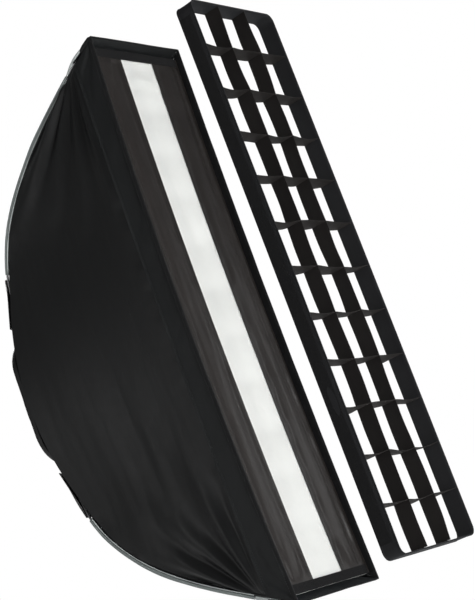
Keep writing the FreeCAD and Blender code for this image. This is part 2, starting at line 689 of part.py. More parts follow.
def grid_velcro():
    """Hook tape round the rear of the grid's long bands."""
    _, y1, zc = grid_frame()
    tapes = []
    for sx in (-1, 1):
        x = sorted((sx * (GRID_W / 2 + 0.05), sx * (GRID_W / 2 + 0.05 + VELCRO_T)))
        half = GRID_L / 2 - GRID_TAPE_SHORT
        tapes.append(box(x, (y1 - 1 - GRID_TAPE_W, y1 - 1), (zc - half, zc + half)))
    save("grid_velcro", *tapes)


def main():
    for make in (bayonet_insert, insert_retainer, speedring, thumbscrew, rod_sockets, rods, sleeves,
                 side_rims, side_panels, end_panels, rim_trim, front_cloth, inner_baffle,
                 rear_collar, slit_flaps, grid_bands, grid_strips, grid_velcro):
        make()


main()
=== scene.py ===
import json
import math

import bmesh
import bpy
import numpy as np
from mathutils import Matrix, Vector


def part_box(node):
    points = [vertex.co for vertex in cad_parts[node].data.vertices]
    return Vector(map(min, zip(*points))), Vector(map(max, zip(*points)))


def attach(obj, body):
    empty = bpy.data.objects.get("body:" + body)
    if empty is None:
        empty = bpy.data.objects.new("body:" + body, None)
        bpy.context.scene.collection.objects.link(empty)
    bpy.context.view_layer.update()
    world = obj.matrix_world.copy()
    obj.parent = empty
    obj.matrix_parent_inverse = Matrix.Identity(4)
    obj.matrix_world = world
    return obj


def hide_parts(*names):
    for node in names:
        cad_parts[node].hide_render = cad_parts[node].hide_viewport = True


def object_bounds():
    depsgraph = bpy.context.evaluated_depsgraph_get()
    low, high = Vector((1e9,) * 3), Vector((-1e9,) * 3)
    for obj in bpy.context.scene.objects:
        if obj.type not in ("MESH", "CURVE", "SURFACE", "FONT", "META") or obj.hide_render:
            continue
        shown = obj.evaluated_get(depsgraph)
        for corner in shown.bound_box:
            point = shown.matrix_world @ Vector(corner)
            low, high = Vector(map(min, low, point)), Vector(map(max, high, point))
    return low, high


# Strip softbox with its pulled-off grid. Metres, in the CAD's frame: +Z up along the strip, +Y to the rear.
# Depths called "yf" are measured rearwards from the front rim's corners.

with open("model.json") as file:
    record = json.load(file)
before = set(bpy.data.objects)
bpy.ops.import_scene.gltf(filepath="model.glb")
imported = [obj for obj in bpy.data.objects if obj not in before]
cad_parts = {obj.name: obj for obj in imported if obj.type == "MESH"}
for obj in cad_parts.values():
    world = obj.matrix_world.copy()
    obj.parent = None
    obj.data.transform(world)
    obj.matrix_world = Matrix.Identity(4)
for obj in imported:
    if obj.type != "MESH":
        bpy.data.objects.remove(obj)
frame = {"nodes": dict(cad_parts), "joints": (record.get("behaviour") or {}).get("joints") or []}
CAD_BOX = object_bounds()
MM = 0.001

# ---- the frame's own sizes ----------------------------------------------
FRONT_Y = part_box("rim_left")[0].y
RIM_HALF = 0.110  # half the rim's width at its corners
RIM_DEPTH = 0.048
BOW_OUT, BOW_BACK = 0.006, 0.010  # how far the rim's long sides bow at mid height
ROD_POLES = ((0.370, 0.078), (0.392, 0.255), (0.245, 0.355), (0.008, 0.452))  # yf, z
ROD_X = (0.045, 0.108)  # the rod's sideways place at its rear and front ends
SEAM_OFF = 0.0062  # from the rod's centre line in to the cloth's seam
SLIT_Z, SLEEVE_Z = 0.200, 0.212  # heights where the slit ends and the rod's sleeve starts
BACK_HALF_X, BACK_YF = 0.091, 0.376  # the side panel's rear edge at mid height
STRIP_HALF = 0.0395  # half the width of the bare diffuser
EDGE_IN = 0.7 * MM  # the rim's corners stay this far inside the rods' centre line
BINDING_IN = 0.65 * MM  # the binding's centre line lies this far inside the rim's outline
END_RIM_HALF = 0.1092  # half the width of the rim's end cloths and their binding
CORNERS = {"tl": (-1, 1), "tr": (1, 1), "bl": (-1, -1), "br": (1, -1)}


# ---- numbers ------------------------------------------------------------
def smooth(x):
    """A soft step from 0 at 0 to 1 at 1."""
    x = np.clip(x, 0.0, 1.0)
    return x * x * (3 - 2 * x)


def noise1(x, seed):
    """Smooth noise along a line, from -1 to 1, with a feature about every 1."""
    i = np.floor(x)
    f = smooth(x - i)

    def value(k):
        return np.modf(np.sin(k * 127.1 + seed * 311.7) * 43758.5453)[0]

    return (1 - f) * value(i) + f * value(i + 1)


def noise2(x, y, seed):
    """Smooth noise over a plane, from -1 to 1."""
    i, j = np.floor(x), np.floor(y)
    f, g = smooth(x - i), smooth(y - j)

    def value(a, b):
        return np.modf(np.sin(a * 127.1 + b * 269.5 + seed * 311.7) * 43758.5453)[0]

    low = (1 - f) * value(i, j) + f * value(i + 1, j)
    high = (1 - f) * value(i, j + 1) + f * value(i + 1, j + 1)
    return (1 - g) * low + g * high


def bump(x):
    """A bell that is 1 at 0 and has died out by 2."""
    return np.exp(-x * x)


def unit(v):
    """Vectors scaled to length 1."""
    return v / np.maximum(np.linalg.norm(v, axis=-1, keepdims=True), 1e-12)


def table(rows, columns, low=0.0, high=1.0, start=0.0, end=1.0):
    """Two numbers for each point of a sheet: from low to high by row, and from start to end by column."""
    return np.meshgrid(np.linspace(low, high, rows), np.linspace(start, end, columns), indexing="ij")


# ---- the bowed rod ------------------------------------------------------
def rod_x(z):
    """How far out sideways the rod is at height z."""
    z0, z1 = ROD_POLES[0][1], ROD_POLES[3][1]
    return ROD_X[0] + (ROD_X[1] - ROD_X[0]) * (z - z0) / (z1 - z0)


def rod(t):
    """Points on the top right rod, with its tangent and its outward and sideways directions."""
    t = np.asarray(t, float)[..., None]
    poles = np.array([(rod_x(z), FRONT_Y + yf, z) for yf, z in ROD_POLES])
    s = 1 - t
    points = s**3 * poles[0] + 3 * t * s**2 * poles[1] + 3 * t**2 * s * poles[2] + t**3 * poles[3]
    legs = poles[1:] - poles[:-1]
    tangent = unit(s**2 * legs[0] + 2 * t * s * legs[1] + t**2 * legs[2])
    side = unit(np.array([ROD_POLES[3][1] - ROD_POLES[0][1], 0.0, ROD_X[0] - ROD_X[1]]))
    side = np.broadcast_to(side, points.shape)
    return points, tangent, np.cross(tangent, side), side


ROD_T = np.linspace(0, 1, 801)
ROD_LINE, _, ROD_OUT, _ = rod(ROD_T)


def rod_yf(z, off=0.0):
    """Depth of the rod, or of a line off inside its bend, at height z."""
    line = ROD_LINE - ROD_OUT * off
    return np.interp(z, line[:, 2], line[:, 1]) - FRONT_Y


def rod_t(z):
    """Share of the rod's curve at height z."""
    return float(np.interp(z, ROD_LINE[:, 2], ROD_T))


def corner_z(yf, off=0.0):
    """Height of the rod's line at depth yf, carried on straight past the rod's front end."""
    line = ROD_LINE - ROD_OUT * off
    ends = line[-40:]
    slope = (ends[-1, 2] - ends[0, 2]) / (ends[-1, 1] - ends[0, 1])
    inside = np.interp(-yf, -(line[:, 1] - FRONT_Y), line[:, 2])
    beyond = line[-1, 2] + slope * (yf + FRONT_Y - line[-1, 1])
    return np.where(yf < line[-1, 1] - FRONT_Y, beyond, inside)


# ---- meshes -------------------------------------------------------------
def quads(index):
    """Quads of a grid of vertex numbers."""
    found = np.stack([index[:-1, :-1], index[1:, :-1], index[1:, 1:], index[:-1, 1:]], -1)
    return found.reshape(-1, 4)


def mesh_object(name, verts, faces, uv=None, sharp_deg=40.0):
    """A mesh with outward normals, smooth but for edges sharper than sharp_deg."""
    mesh = bpy.data.meshes.new(name)
    mesh.from_pydata(np.asarray(verts).tolist(), [], [list(map(int, f)) for f in faces])
    if uv is not None:
        layer = mesh.uv_layers.new(name="cloth")
        loops = np.zeros(len(mesh.loops), np.int64)
        mesh.loops.foreach_get("vertex_index", loops)
        layer.data.foreach_set("uv", np.asarray(uv, float)[loops].ravel())
    bm = bmesh.new()
    bm.from_mesh(mesh)
    bmesh.ops.recalc_face_normals(bm, faces=bm.faces)
    limit = math.radians(sharp_deg)
    for edge in bm.edges:
        edge.smooth = edge.calc_face_angle(0.0) < limit
    for face in bm.faces:
        face.smooth = True
    bm.to_mesh(mesh)
    bm.free()
    piece = bpy.data.objects.new(name, mesh)
    bpy.context.scene.collection.objects.link(piece)
    return piece


def grid_normals(points):
    """Unit normals of a grid of points."""
    du, dv = np.gradient(points, axis=0), np.gradient(points, axis=1)
    return unit(np.cross(du, dv))


def lengths(points, axis):
    """Distances along one axis of a grid of points, from its start."""
    steps = np.linalg.norm(np.diff(points, axis=axis), axis=2)
    total = np.cumsum(steps, axis=axis)
    start = np.zeros_like(np.take(total, [0], axis=axis))
    return np.concatenate([start, total], axis=axis)


def finish_piece(piece, material, body, nodes):
    """Give a mesh its material, the body it rides and the nodes it stands in for."""
    piece.data.materials.append(material)
    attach(piece, body)
    if nodes:
        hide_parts(*nodes)
    return piece


def cloth(name, base, out, relief=0.0, thick=1.0 * MM, material=None, body="softbox",
          nodes=()):
    """A sheet with its outer face on base, moved outwards by relief. base is the cut before it wrinkles."""
    normals = grid_normals(base)
    if (normals * np.asarray(out, float)).sum(-1).mean() < 0:
        normals = -normals
    relief = np.broadcast_to(np.asarray(relief, float), base.shape[:2])
    face = base + normals * relief[..., None]
    turned = grid_normals(face)
    if (turned * normals).sum(-1).mean() < 0:
        turned = -turned
    back = face - turned * thick
    rows, columns = base.shape[:2]
    count = rows * columns
    index = np.arange(count).reshape(rows, columns)
    ring = np.concatenate([index[:-1, 0], index[-1, :-1], index[:0:-1, -1], index[0, :0:-1]])
    after = np.roll(ring, -1)
    edges = np.stack([ring, after, after + count, ring + count], -1)
    faces = np.concatenate([quads(index), quads(index + count)[:, ::-1], edges])
    uv = np.stack([lengths(base, 0), lengths(base, 1)], -1).reshape(-1, 2)
    piece = mesh_object(name, np.concatenate([face.reshape(-1, 3), back.reshape(-1, 3)]), faces,
                        np.concatenate([uv, uv]))
    finish_piece(piece, material, body, nodes)
    return piece


def sweep(name, path, right, up, profile, material, nodes=(), sharp_deg=40.0):
    """A closed bar along path. profile(share) gives the section there, as offsets along right and up."""
    share = np.linspace(0, 1, len(path))
    rings = []
    for k, s in enumerate(share):
        section = np.asarray(profile(s))
        rings.append(path[k] + section[:, :1] * right[k] + section[:, 1:] * up[k])
    rings = np.array(rings)
    rows, columns = rings.shape[:2]
    index = np.arange(rows * columns).reshape(rows, columns)
    index = np.concatenate([index, index[:, :1]], 1)
    faces = [list(f) for f in quads(index)]
    faces += [list(index[0, :-1][::-1]), list(index[-1, :-1])]
    around = lengths(rings, 1)
    along = np.broadcast_to(lengths(np.asarray(path)[:, None], 0), (rows, columns))
    uv = np.stack([along, around], -1).reshape(-1, 2)
    piece = mesh_object(name, rings.reshape(-1, 3), faces, uv, sharp_deg)
    return finish_piece(piece, material, "softbox", nodes)


def oval(half_a, half_b, count=14, centre=(0.0, 0.0), power=1.0):
    """Points round an oval; a power under 1 makes it squarer."""
    angle = np.linspace(0, 2 * math.pi, count, endpoint=False)
    c, s = np.cos(angle), np.sin(angle)
    a = np.sign(c) * np.abs(c) ** power
    b = np.sign(s) * np.abs(s) ** power
    return np.stack([centre[0] + half_a * a, centre[1] + half_b * b], -1)


def resample(path, pitch):
    """Points along a line, pitch apart."""
    path = np.asarray(path, float)
    along = np.concatenate([[0], np.cumsum(np.linalg.norm(np.diff(path, axis=0), axis=1))])
    count = max(2, int(along[-1] / pitch) + 1)
    at = np.linspace(0, along[-1], count)
    return np.stack([np.interp(at, along, path[:, k]) for k in range(3)], -1)


STITCH_PITCH, STITCH_RADIUS = 3.6 * MM, 0.32 * MM
STITCH_SHARE = 0.36  # half a stitch's length, as a share of the pitch


def stitches(name, lines, out, material, body="softbox", lift=0.25 * MM):
    """Rows of sewn thread: one slim bead per stitch, half sunk in the cloth."""
    verts, faces = [], []
    out = unit(np.asarray(out, float))
    for line in lines:
        points = resample(line, STITCH_PITCH)
        ahead = unit(np.gradient(points, axis=0))
        normal = unit(out - (ahead * out).sum(-1, keepdims=True) * ahead)
        across = np.cross(ahead, normal)
        for p, a, n, s in zip(points + normal * lift, ahead, normal, across):
            first = len(verts)
            half = a * STITCH_PITCH * STITCH_SHARE
            verts += [p - half, p + half]
            n, s = n * STITCH_RADIUS, s * STITCH_RADIUS
            verts += [p + n, p + s, p - n, p - s]
            for k in range(4):
                one, two = first + 2 + k, first + 2 + (k + 1) % 4
                faces += [(first, one, two), (first + 1, two, one)]
    piece = mesh_object(name, np.array(verts), faces, sharp_deg=180.0)
    return finish_piece(piece, material, body, ())


# ---- materials ----------------------------------------------------------
class Nodes:
    """A small helper that adds nodes to one material and joins them."""

    def __init__(self, name):
        self.material = bpy.data.materials.new(name)
        self.material.use_nodes = True
        self.tree = self.material.node_tree
        self.shader = self.tree.nodes["Principled BSDF"]

    def add(self, kind, inputs=None, **settings):
        node = self.tree.nodes.new(kind)
        for key, value in settings.items():
            setattr(node, key, value)
        for key, value in (inputs or {}).items():
            if isinstance(value, bpy.types.NodeSocket):
                self.tree.links.new(value, node.inputs[key])
            else:
                node.inputs[key].default_value = value
        return node

    def set(self, **values):
        for key, value in values.items():
            self.shader.inputs[key.replace("_", " ")].default_value = value

    def link(self, socket, name):
        self.tree.links.new(socket, self.shader.inputs[name])

    def math(self, operation, a, b=0.0):
        return self.add("ShaderNodeMath", {0: a, 1: b}, operation=operation).outputs[0]

    def noise(self, vector, scale, detail=3.0, rough=0.5):
        return self.add("ShaderNodeTexNoise", {"Vector": vector, "Scale": scale, "Detail": detail,
                                               "Roughness": rough}).outputs["Fac"]

    def ramp(self, value, stops):
        node = self.add("ShaderNodeValToRGB", {"Fac": value})
        ends = node.color_ramp.elements
        while len(ends) < len(stops):
            ends.new(0.5)
        for element, (place, colour) in zip(ends, stops):
            element.position = place
            element.color = (*colour, 1.0)
        return node.outputs["Color"]

    def place(self, scale=(1, 1, 1), source="Object"):
        coordinates = self.add("ShaderNodeTexCoord").outputs[source]
        return self.add("ShaderNodeMapping", {"Vector": coordinates, "Scale": scale}).outputs["Vector"]


def shade(colour, factor):
    """A colour made darker or lighter."""
    return tuple(c * factor for c in colour)


ONE_WAVE = 0.314  # the wave texture's scale that gives one band per unit


def woven(name, colour, thread=0.9 * MM, rough=0.62, sheen=0.25, tint=None, specular=0.35, weave=0.25,
          crinkle=0.15, variation=0.18, crinkle_scale=60.0):
    """Plain-woven cloth: crossed threads on the piece's own cloth coordinates, fine crinkles, uneven dye, and
    painted shade: the raised threads are painted lighter than the gaps between them.
    """
    n = Nodes(name)
    uv = n.place((1 / thread, 1 / thread, 1.0), "UV")
    warp, weft = [
        n.add("ShaderNodeTexWave", {"Vector": uv, "Scale": ONE_WAVE, "Distortion": 0.4, "Detail Scale": 2.0},
              wave_type="BANDS", bands_direction=way).outputs["Fac"] for way in "XY"]
    threads = n.math("MAXIMUM", warp, weft)
    here = n.place()
    slow = n.noise(here, 14.0, 4.0, 0.55)
    fine = n.noise(here, crinkle_scale, 5.0, 0.6)
    dye = n.ramp(slow, [(0.3, shade(colour, 1 - variation)), (0.7, shade(colour, 1 + variation))])
    # painted shade and highlight: the raised thread crests are mixed towards a lighter copy of the colour, so
    # the gaps between threads read darker
    light = (*shade(colour, 1.5), 1.0)
    mix = n.add("ShaderNodeMixRGB", {"Fac": n.math("MULTIPLY", threads, 0.3), "Color1": dye, "Color2": light})
    n.link(mix.outputs["Color"], "Base Color")
    n.link(n.math("ADD", n.math("MULTIPLY", fine, 0.16), rough - 0.08), "Roughness")
    n.set(Sheen_Weight=sheen, Sheen_Roughness=0.45, Specular_IOR_Level=specular)
    n.shader.inputs["Sheen Tint"].default_value = (*(tint or (0.8, 0.9, 1.0)), 1.0)
    crinkles = n.add("ShaderNodeBump", {"Height": fine, "Strength": crinkle, "Distance": 1.2 * MM})
    weaving = n.add("ShaderNodeBump", {"Height": threads, "Strength": weave, "Distance": 0.12 * MM,
                                       "Normal": crinkles.outputs["Normal"]})
    n.link(weaving.outputs["Normal"], "Normal")
    return n.material


BRISTLE = 0.7 * MM


def fuzzy(name, colour):
    """Hook or loop tape: a dense mat of tiny bristles, with painted shade: the bristles' tops are painted
    lighter and the gaps between them darker.
    """
    n = Nodes(name)
    cells = n.add("ShaderNodeTexVoronoi", {"Vector": n.place(), "Scale": 1 / BRISTLE}).outputs["Distance"]
    # painted shade and highlight: where the bump raises a bristle the colour is lighter, and in the gaps
    # between bristles it is darker
    n.link(n.ramp(cells, [(0.1, shade(colour, 1.8)), (0.7, shade(colour, 0.5))]), "Base Color")
    n.link(n.add("ShaderNodeBump", {"Height": cells, "Strength": 0.8, "Distance": 0.4 * MM},
                 invert=True).outputs["Normal"], "Normal")
    n.set(Roughness=0.85, Sheen_Weight=0.03, Sheen_Roughness=0.6, Specular_IOR_Level=0.1)
    return n.material


def metal(name, colour, rough, metallic=1.0, grain=(1, 1, 1), scratches=0.15):
    """Machined or painted metal with fine scratches and uneven polish."""
    n = Nodes(name)
    lines = n.noise(n.place(grain), 900.0, 4.0, 0.7)
    smudge = n.noise(n.place(), 35.0, 5.0, 0.6)
    n.link(n.ramp(smudge, [(0.35, shade(colour, 0.88)), (0.68, shade(colour, 1.08))]), "Base Color")
    n.link(n.math("ADD", n.math("MULTIPLY", smudge, 0.22), rough - 0.1), "Roughness")
    bumps = n.add("ShaderNodeBump", {"Height": lines, "Strength": scratches, "Distance": 0.05 * MM})
    n.link(bumps.outputs["Normal"], "Normal")
    n.set(Metallic=metallic, Specular_IOR_Level=0.5)
    return n.material


def moulded(name, colour):
    """Moulded plastic with a fine spark-eroded texture."""
    n = Nodes(name)
    grain = n.noise(n.place(), 1400.0, 3.0, 0.6)
    slow = n.noise(n.place(), 30.0, 3.0, 0.5)
    n.link(n.ramp(slow, [(0.3, shade(colour, 0.85)), (0.7, shade(colour, 1.2))]), "Base Color")
    bumps = n.add("ShaderNodeBump", {"Height": grain, "Strength": 0.25, "Distance": 0.08 * MM})
    n.link(bumps.outputs["Normal"], "Normal")
    n.set(Roughness=0.5, Specular_IOR_Level=0.45)
    return n.material


NYLON = woven("black nylon", (0.0038, 0.0042, 0.0045), sheen=0.01, rough=0.38, specular=0.50)
RIM_NYLON = woven("rim nylon", (0.0155, 0.0165, 0.0170), sheen=0.02, rough=0.45, specular=0.22)
BINDING = woven("binding tape", (0.011, 0.011, 0.0115), thread=0.7 * MM, rough=0.6, weave=0.5, sheen=0.03,
                specular=0.2)
MASK = woven("coated mask cloth", (0.0165, 0.0140, 0.0130), rough=0.36, sheen=0.01, specular=0.48,
             tint=(1.0, 0.9, 0.85), crinkle=0.22, crinkle_scale=90.0)
DIFFUSER = woven("white diffuser", (0.83, 0.84, 0.815), thread=0.6 * MM, rough=0.8, sheen=0.05,
                 variation=0.02, weave=0.1, crinkle=0.05)
SILVER = woven("silver lining", (0.50, 0.51, 0.52), thread=0.6 * MM, rough=0.33, sheen=0.0, variation=0.06)
SLEEVE = woven("grey sleeve", (0.25, 0.28, 0.275), thread=0.7 * MM, rough=0.42, sheen=0.05, variation=0.14,
               weave=0.4, specular=0.4)
PIPING = woven("grey piping", (0.56, 0.60, 0.59), thread=0.5 * MM, rough=0.4, sheen=0.05, variation=0.10,
               specular=0.4)
GRID_BAND = woven("grid band cloth", (0.0155, 0.0155, 0.0168), rough=0.6, sheen=0.03, specular=0.2)
GRID_STRIP = woven("grid strip cloth", (0.0120, 0.0105, 0.0100), rough=0.6, sheen=0.02, tint=(1, 0.92, 0.88),
                   specular=0.2)
THREAD = woven("sewing thread", (0.035, 0.036, 0.037), thread=0.3 * MM, rough=0.5, sheen=0.1)
ELASTIC = woven("elastic", (0.6, 0.6, 0.6), thread=1.1 * MM, rough=0.7, weave=0.7)
TAPE = fuzzy("hook and loop", (0.0125, 0.0125, 0.0132))
ALUMINIUM = metal("turned aluminium", (0.62, 0.63, 0.64), 0.34, grain=(1, 8, 1))
PAINTED = metal("black painted metal", (0.018, 0.018, 0.02), 0.42, metallic=0.0, scratches=0.3)
STEEL = metal("screw steel", (0.45, 0.45, 0.46), 0.3)
SPRING = metal("spring steel", (0.5, 0.5, 0.51), 0.26)
KNOB = moulded("black knob", (0.02, 0.02, 0.021))

for node, material in (
        [(n, ALUMINIUM) for n in ("bayonet_insert", "insert_retainer")]
        + [("speedring", PAINTED), ("thumbscrew_knob", KNOB), ("rod_caps", KNOB)]
        + [("rod_socket_" + c, PAINTED) for c in CORNERS]
        + [(n, STEEL) for n in ("retainer_screws", "socket_screws", "thumbscrew_stud", "baffle_snaps")]
        + [("rod_" + c, SPRING) for c in CORNERS]):
    mesh = frame["nodes"][node].data
    mesh.materials.clear()
    mesh.materials.append(material)


# ---- side cloth ---------------------------------------------------------
def rim_front(z, z_end):
    """Half width and depth of the rim's front edge at height z."""
    bow = 1 - (z / z_end) ** 2
    return RIM_HALF + BOW_OUT * bow, BOW_BACK * bow


SEAM_OUT = 2 * MM  # the side cloth's seam stands this far outside the rod's centre line


def panel_rear(z):
    """Half width and depth of the side panel's rear edge: along the rod, then across the slit."""
    a = np.abs(z)
    yf = rod_yf(np.maximum(a, SLIT_Z), SEAM_OFF)
    x = rod_x(np.maximum(a, SLIT_Z)) + SEAM_OUT
    share = np.where(a < SLIT_Z, 1 - (a / SLIT_Z) ** 2, 0.0)
    return x + (BACK_HALF_X - x) * share, yf + (BACK_YF - yf) * share


# ridges that fan out from the corners where the rim's seam meets the rods: degrees from the seam, height in
# millimetres before FAN_GAIN, half width in degrees
FAN_TOP = ((4, 3.6, 3.2), (12, -2.4, 3.2), (21, 2.2, 4.0), (32, -2.4, 4.5), (43, 1.4, 4.0), (48, -2.6, 3.0),
           (54, 5.5, 4.4), (61, -2.6, 2.6))
FAN_BOTTOM = ((3, -1.6, 3.0), (13, 5.0, 5.5), (25, -3.5, 5.0), (36, 2.6, 5.0), (45, -4.0, 4.0),
              (52, 3.6, 4.0), (59, -3.0, 3.0))
FAN_GAIN = 1.35
FAN_YF, FAN_Z = 0.052, 0.436  # where each fan starts
FAN_REACH, FAN_UNEVEN = 0.20, 0.07  # how long its ridges are, and by how much they differ
# slack over the whole side: height in millimetres, feature size in depth and in height
SIDE_SLACK = ((1.7, 0.060, 0.24), (0.8, 0.026, 0.15))
SIDE_SAG, SAG_HALF = -1.5 * MM, 0.44
PANEL_DEEP = 0.3


def fan(z, yf, sign, ridges, seed):
    """Tension folds that spread from one corner and die out towards the middle."""
    along, across = FAN_Z - sign * z, yf - FAN_YF
    reach = np.hypot(along, across)
    angle = np.degrees(np.arctan2(across, along)) + 2.2 * noise1(reach / 0.07, seed)
    total = np.zeros_like(z)
    for number, (where, height, width) in enumerate(ridges):
        length = FAN_REACH + FAN_UNEVEN * noise1(np.array(number * 1.7), seed + 4)
        fade = smooth(reach / 0.10) * (1 - smooth((reach - 0.5 * length) / length))
        total += height * fade * bump((angle - where) / width)
    return FAN_GAIN * total * MM


def side_relief(z, yf, across, seed):
    """How far the side cloth stands out; across is 0 at the rim's seam and 1 at the rods' seam."""
    middle = np.sin(math.pi * across)
    relief = SIDE_SAG * middle * (1 - (z / SAG_HALF) ** 2)
    relief += fan(z, yf, 1, FAN_TOP, seed) + fan(z, yf, -1, FAN_BOTTOM, seed + 3)
    for number, (height, deep, tall) in enumerate(SIDE_SLACK):
        relief += height * MM * noise2(yf / deep, z / tall, seed + 1 + number) * middle
    # fine crinkles, then puckers along both seams
    relief += 0.16 * MM * noise2(yf / 0.007, z / 0.05, seed + 8) * smooth(middle * 3)
    pucker = noise1(z / 0.013, seed + 5) * bump((1 - across) * PANEL_DEEP / 0.014)
    relief += 0.9 * MM * pucker * (np.abs(z) > SLIT_Z * 0.9)
    relief += 0.7 * MM * noise1(z / 0.017, seed + 6) * bump(across / 0.045)
    return relief


EASE_REACH, EASE_FADE = 0.055, 0.08  # the stretch averaged at a slit's end, and how fast that dies away


def eased_rear(z):
    """The panel's rear edge, with the bend at each slit's end eased into a curve."""
    reach = EASE_REACH * bump((np.abs(z) - SLIT_Z) / EASE_FADE)
    steps = np.linspace(-1, 1, 9)
    weights = 1 - steps**2 * 0.9  # the ends of the stretch count least
    total = sum(w * np.array(panel_rear(z + s * reach)) for s, w in zip(steps, weights))
    return total / weights.sum()


LINING_IN, LINING_SHARE = 3.0 * MM, 0.985  # the lining's gap from the cloth, and its width beside it


def side_cloth(side, sx, seed):
    """One big side panel and the silver lining behind it."""
    z_end = float(corner_z(RIM_DEPTH, SEAM_OFF)) - 0.5 * MM
    z, across = table(300, 110, -z_end, z_end)
    bow = 1 - (z / z_end) ** 2
    x0, yf0 = RIM_HALF + (BOW_OUT - 0.5 * MM) * bow, RIM_DEPTH + 2 * MM * bow
    x1, yf1 = eased_rear(z)
    yf = yf0 + (yf1 - yf0) * across
    base = np.stack([sx * (x0 + (x1 - x0) * across), FRONT_Y + yf, z], -1)
    relief = side_relief(z, yf, across, seed)
    panel = cloth(side + "_panel_cloth", base, (sx, 0, 0), relief, 1.2 * MM, NYLON,
                  nodes=[side + "_panel"])
    shrink = 0.5 + (across - 0.5) * LINING_SHARE
    yf = yf0 + (yf1 - yf0) * shrink
    inner = np.stack([sx * (x0 + (x1 - x0) * shrink - LINING_IN), FRONT_Y + yf, z * 0.99], -1)
    slack = np.minimum(relief, 0.0)[::3, ::2] - 1.6 * MM
    cloth(side + "_lining_cloth", inner[::3, ::2], (sx, 0, 0), slack, 0.6 * MM, SILVER,
          nodes=[side + "_lining"])


EAR_SHARE = 0.45  # share of the rim's depth over which its corners reach out to the end cloths
RIM_CORNER_Z, RIM_CORNER_YF = 0.458, -0.004  # where the folds at the rim's corners start
RIM_THICK = 1.3 * MM
RIM_DIP = 1.1 * MM  # folds never sink deeper than this


def rim_side(side, sx, seed):
    """One long side of the rim, folded towards its corners."""
    columns = 24
    share, across = table(300, columns, -1, 1)
    z0, z1 = float(corner_z(0.0, SEAM_OFF)), float(corner_z(RIM_DEPTH, SEAM_OFF))
    ear = float(corner_z(0.0)) - EDGE_IN - z0
    z = share * (z0 + (z1 - z0) * across + ear * (1 - smooth(across / EAR_SHARE)))
    bow = 1 - share**2
    x = RIM_HALF + (BOW_OUT - 0.5 * MM * across) * bow
    yf = BOW_BACK * bow * (1 - across) + (RIM_DEPTH + 2 * MM * bow) * across
    base = np.stack([sx * x, FRONT_Y + yf, z], -1)
    middle = np.sin(math.pi * across)
    relief = -1.0 * MM * middle
    relief += 0.8 * MM * noise2(yf / 0.02 + z / 0.03, z / 0.07, seed) * middle
    along, deep = RIM_CORNER_Z - np.abs(z), yf - RIM_CORNER_YF
    reach = np.hypot(along, deep)
    angle = np.degrees(np.arctan2(deep, along))
    folds = noise1(angle / 9.0 + 0.5 * noise1(reach / 0.03, seed + 3), seed + 1)
    relief += 3.2 * MM * folds * smooth(reach / 0.03) * (1 - smooth((reach - 0.06) / 0.11)) * middle
    relief += 0.5 * MM * noise1(z / 0.02 + yf / 0.03, seed + 4) * middle
    relief += 0.5 * MM * bump((across - 1) / 0.06) - 0.8 * MM * bump((across - 0.93) / 0.05)
    relief = np.maximum(relief, -RIM_DIP)
    cloth(side + "_rim_cloth", base, (sx, 0, 0), relief, RIM_THICK, RIM_NYLON,
          nodes=["rim_" + side])
    out = np.array([sx, 0, 0])
    lines = [(base + out * relief[..., None])[4:-4, k] for k in (columns - 3, columns - 2)]
    stitches(side + "_rim_stitches", lines, out, THREAD)


# ---- top and bottom cloth -----------------------------------------------
END_REAR_Z, END_INSET = 0.116, 5.2 * MM


def end_cloth(side, sz, seed):
    """The top or bottom panel, its lining and the rim's short side in front of it."""
    rows, columns = 200, 60
    t0 = rod_t(END_REAR_Z)
    t1 = float(np.interp(-RIM_DEPTH, FRONT_Y - ROD_LINE[:, 1], ROD_T))
    points = rod(np.linspace(t0, t1, rows))[0]
    across = np.linspace(-1, 1, columns)[None, :] * np.ones((rows, 1))
    base = np.repeat(points[:, None], columns, 1)
    base[..., 0] = (points[:, 0] - END_INSET)[:, None] * across
    u = lengths(base, 0)
    middle = 1 - across**2
    relief = -2.5 * MM * middle
    relief += 1.4 * MM * noise2(u / 0.09, across / 0.35, seed) * middle
    puckers = noise1(u / 0.012 + 0.8 * noise1(u / 0.05, seed + 2), seed + 1)
    relief += 0.8 * MM * puckers * bump((1 - np.abs(across)) / 0.16)
    base[..., 2] *= sz
    direction = np.array([0, 0.6, 0.8 * sz])
    panel = cloth(side + "_panel_cloth", base, direction, relief, 1.2 * MM, NYLON,
                  nodes=[side + "_panel"])
    under = base.copy()
    under[..., 0] *= LINING_SHARE
    cloth(side + "_lining_cloth", under[::2, ::2], direction, relief[::2, ::2] - 2.2 * MM, 0.6 * MM, SILVER,
          nodes=[side + "_lining"])

    yf = np.linspace(0, RIM_DEPTH, 24)
    z = corner_z(yf)
    across = table(24, 110, start=-1.0)[1]
    deep, high = FRONT_Y + yf[:, None] + 0 * across, sz * (z[:, None] + 0 * across)
    base = np.stack([END_RIM_HALF * across, deep, high], -1)
    share = (yf / RIM_DEPTH)[:, None]
    relief = 1.0 * MM * noise2(across / 0.2, share / 0.6, seed + 7) * np.sin(math.pi * share)
    relief = relief - 0.7 * MM * np.sin(math.pi * share)
    cloth(side + "_rim_cloth", base, direction, relief, RIM_THICK, RIM_NYLON,
          nodes=["rim_" + side])
    stitches(side + "_rim_stitches", [base[21], base[22]], direction, THREAD)


# ---- corner seams -------------------------------------------------------
def corner_sweep(key, t, profile, name, material, nodes=(), drift=None):
    """A bar that follows one rod, its section given sideways (right) and outwards (up)."""
    sx, sz = CORNERS[key]
    flip = np.array([sx, 1, sz])
    points, _, out, side = rod(t)
    if drift is not None:
        points = points + out * drift[:, :1] + side * drift[:, 1:]
    return sweep(name, points * flip, side * flip, out * flip, profile, material, nodes, 50.0)


SLEEVE_END_T = 0.905  # where the rim's own piece of grey binding takes over


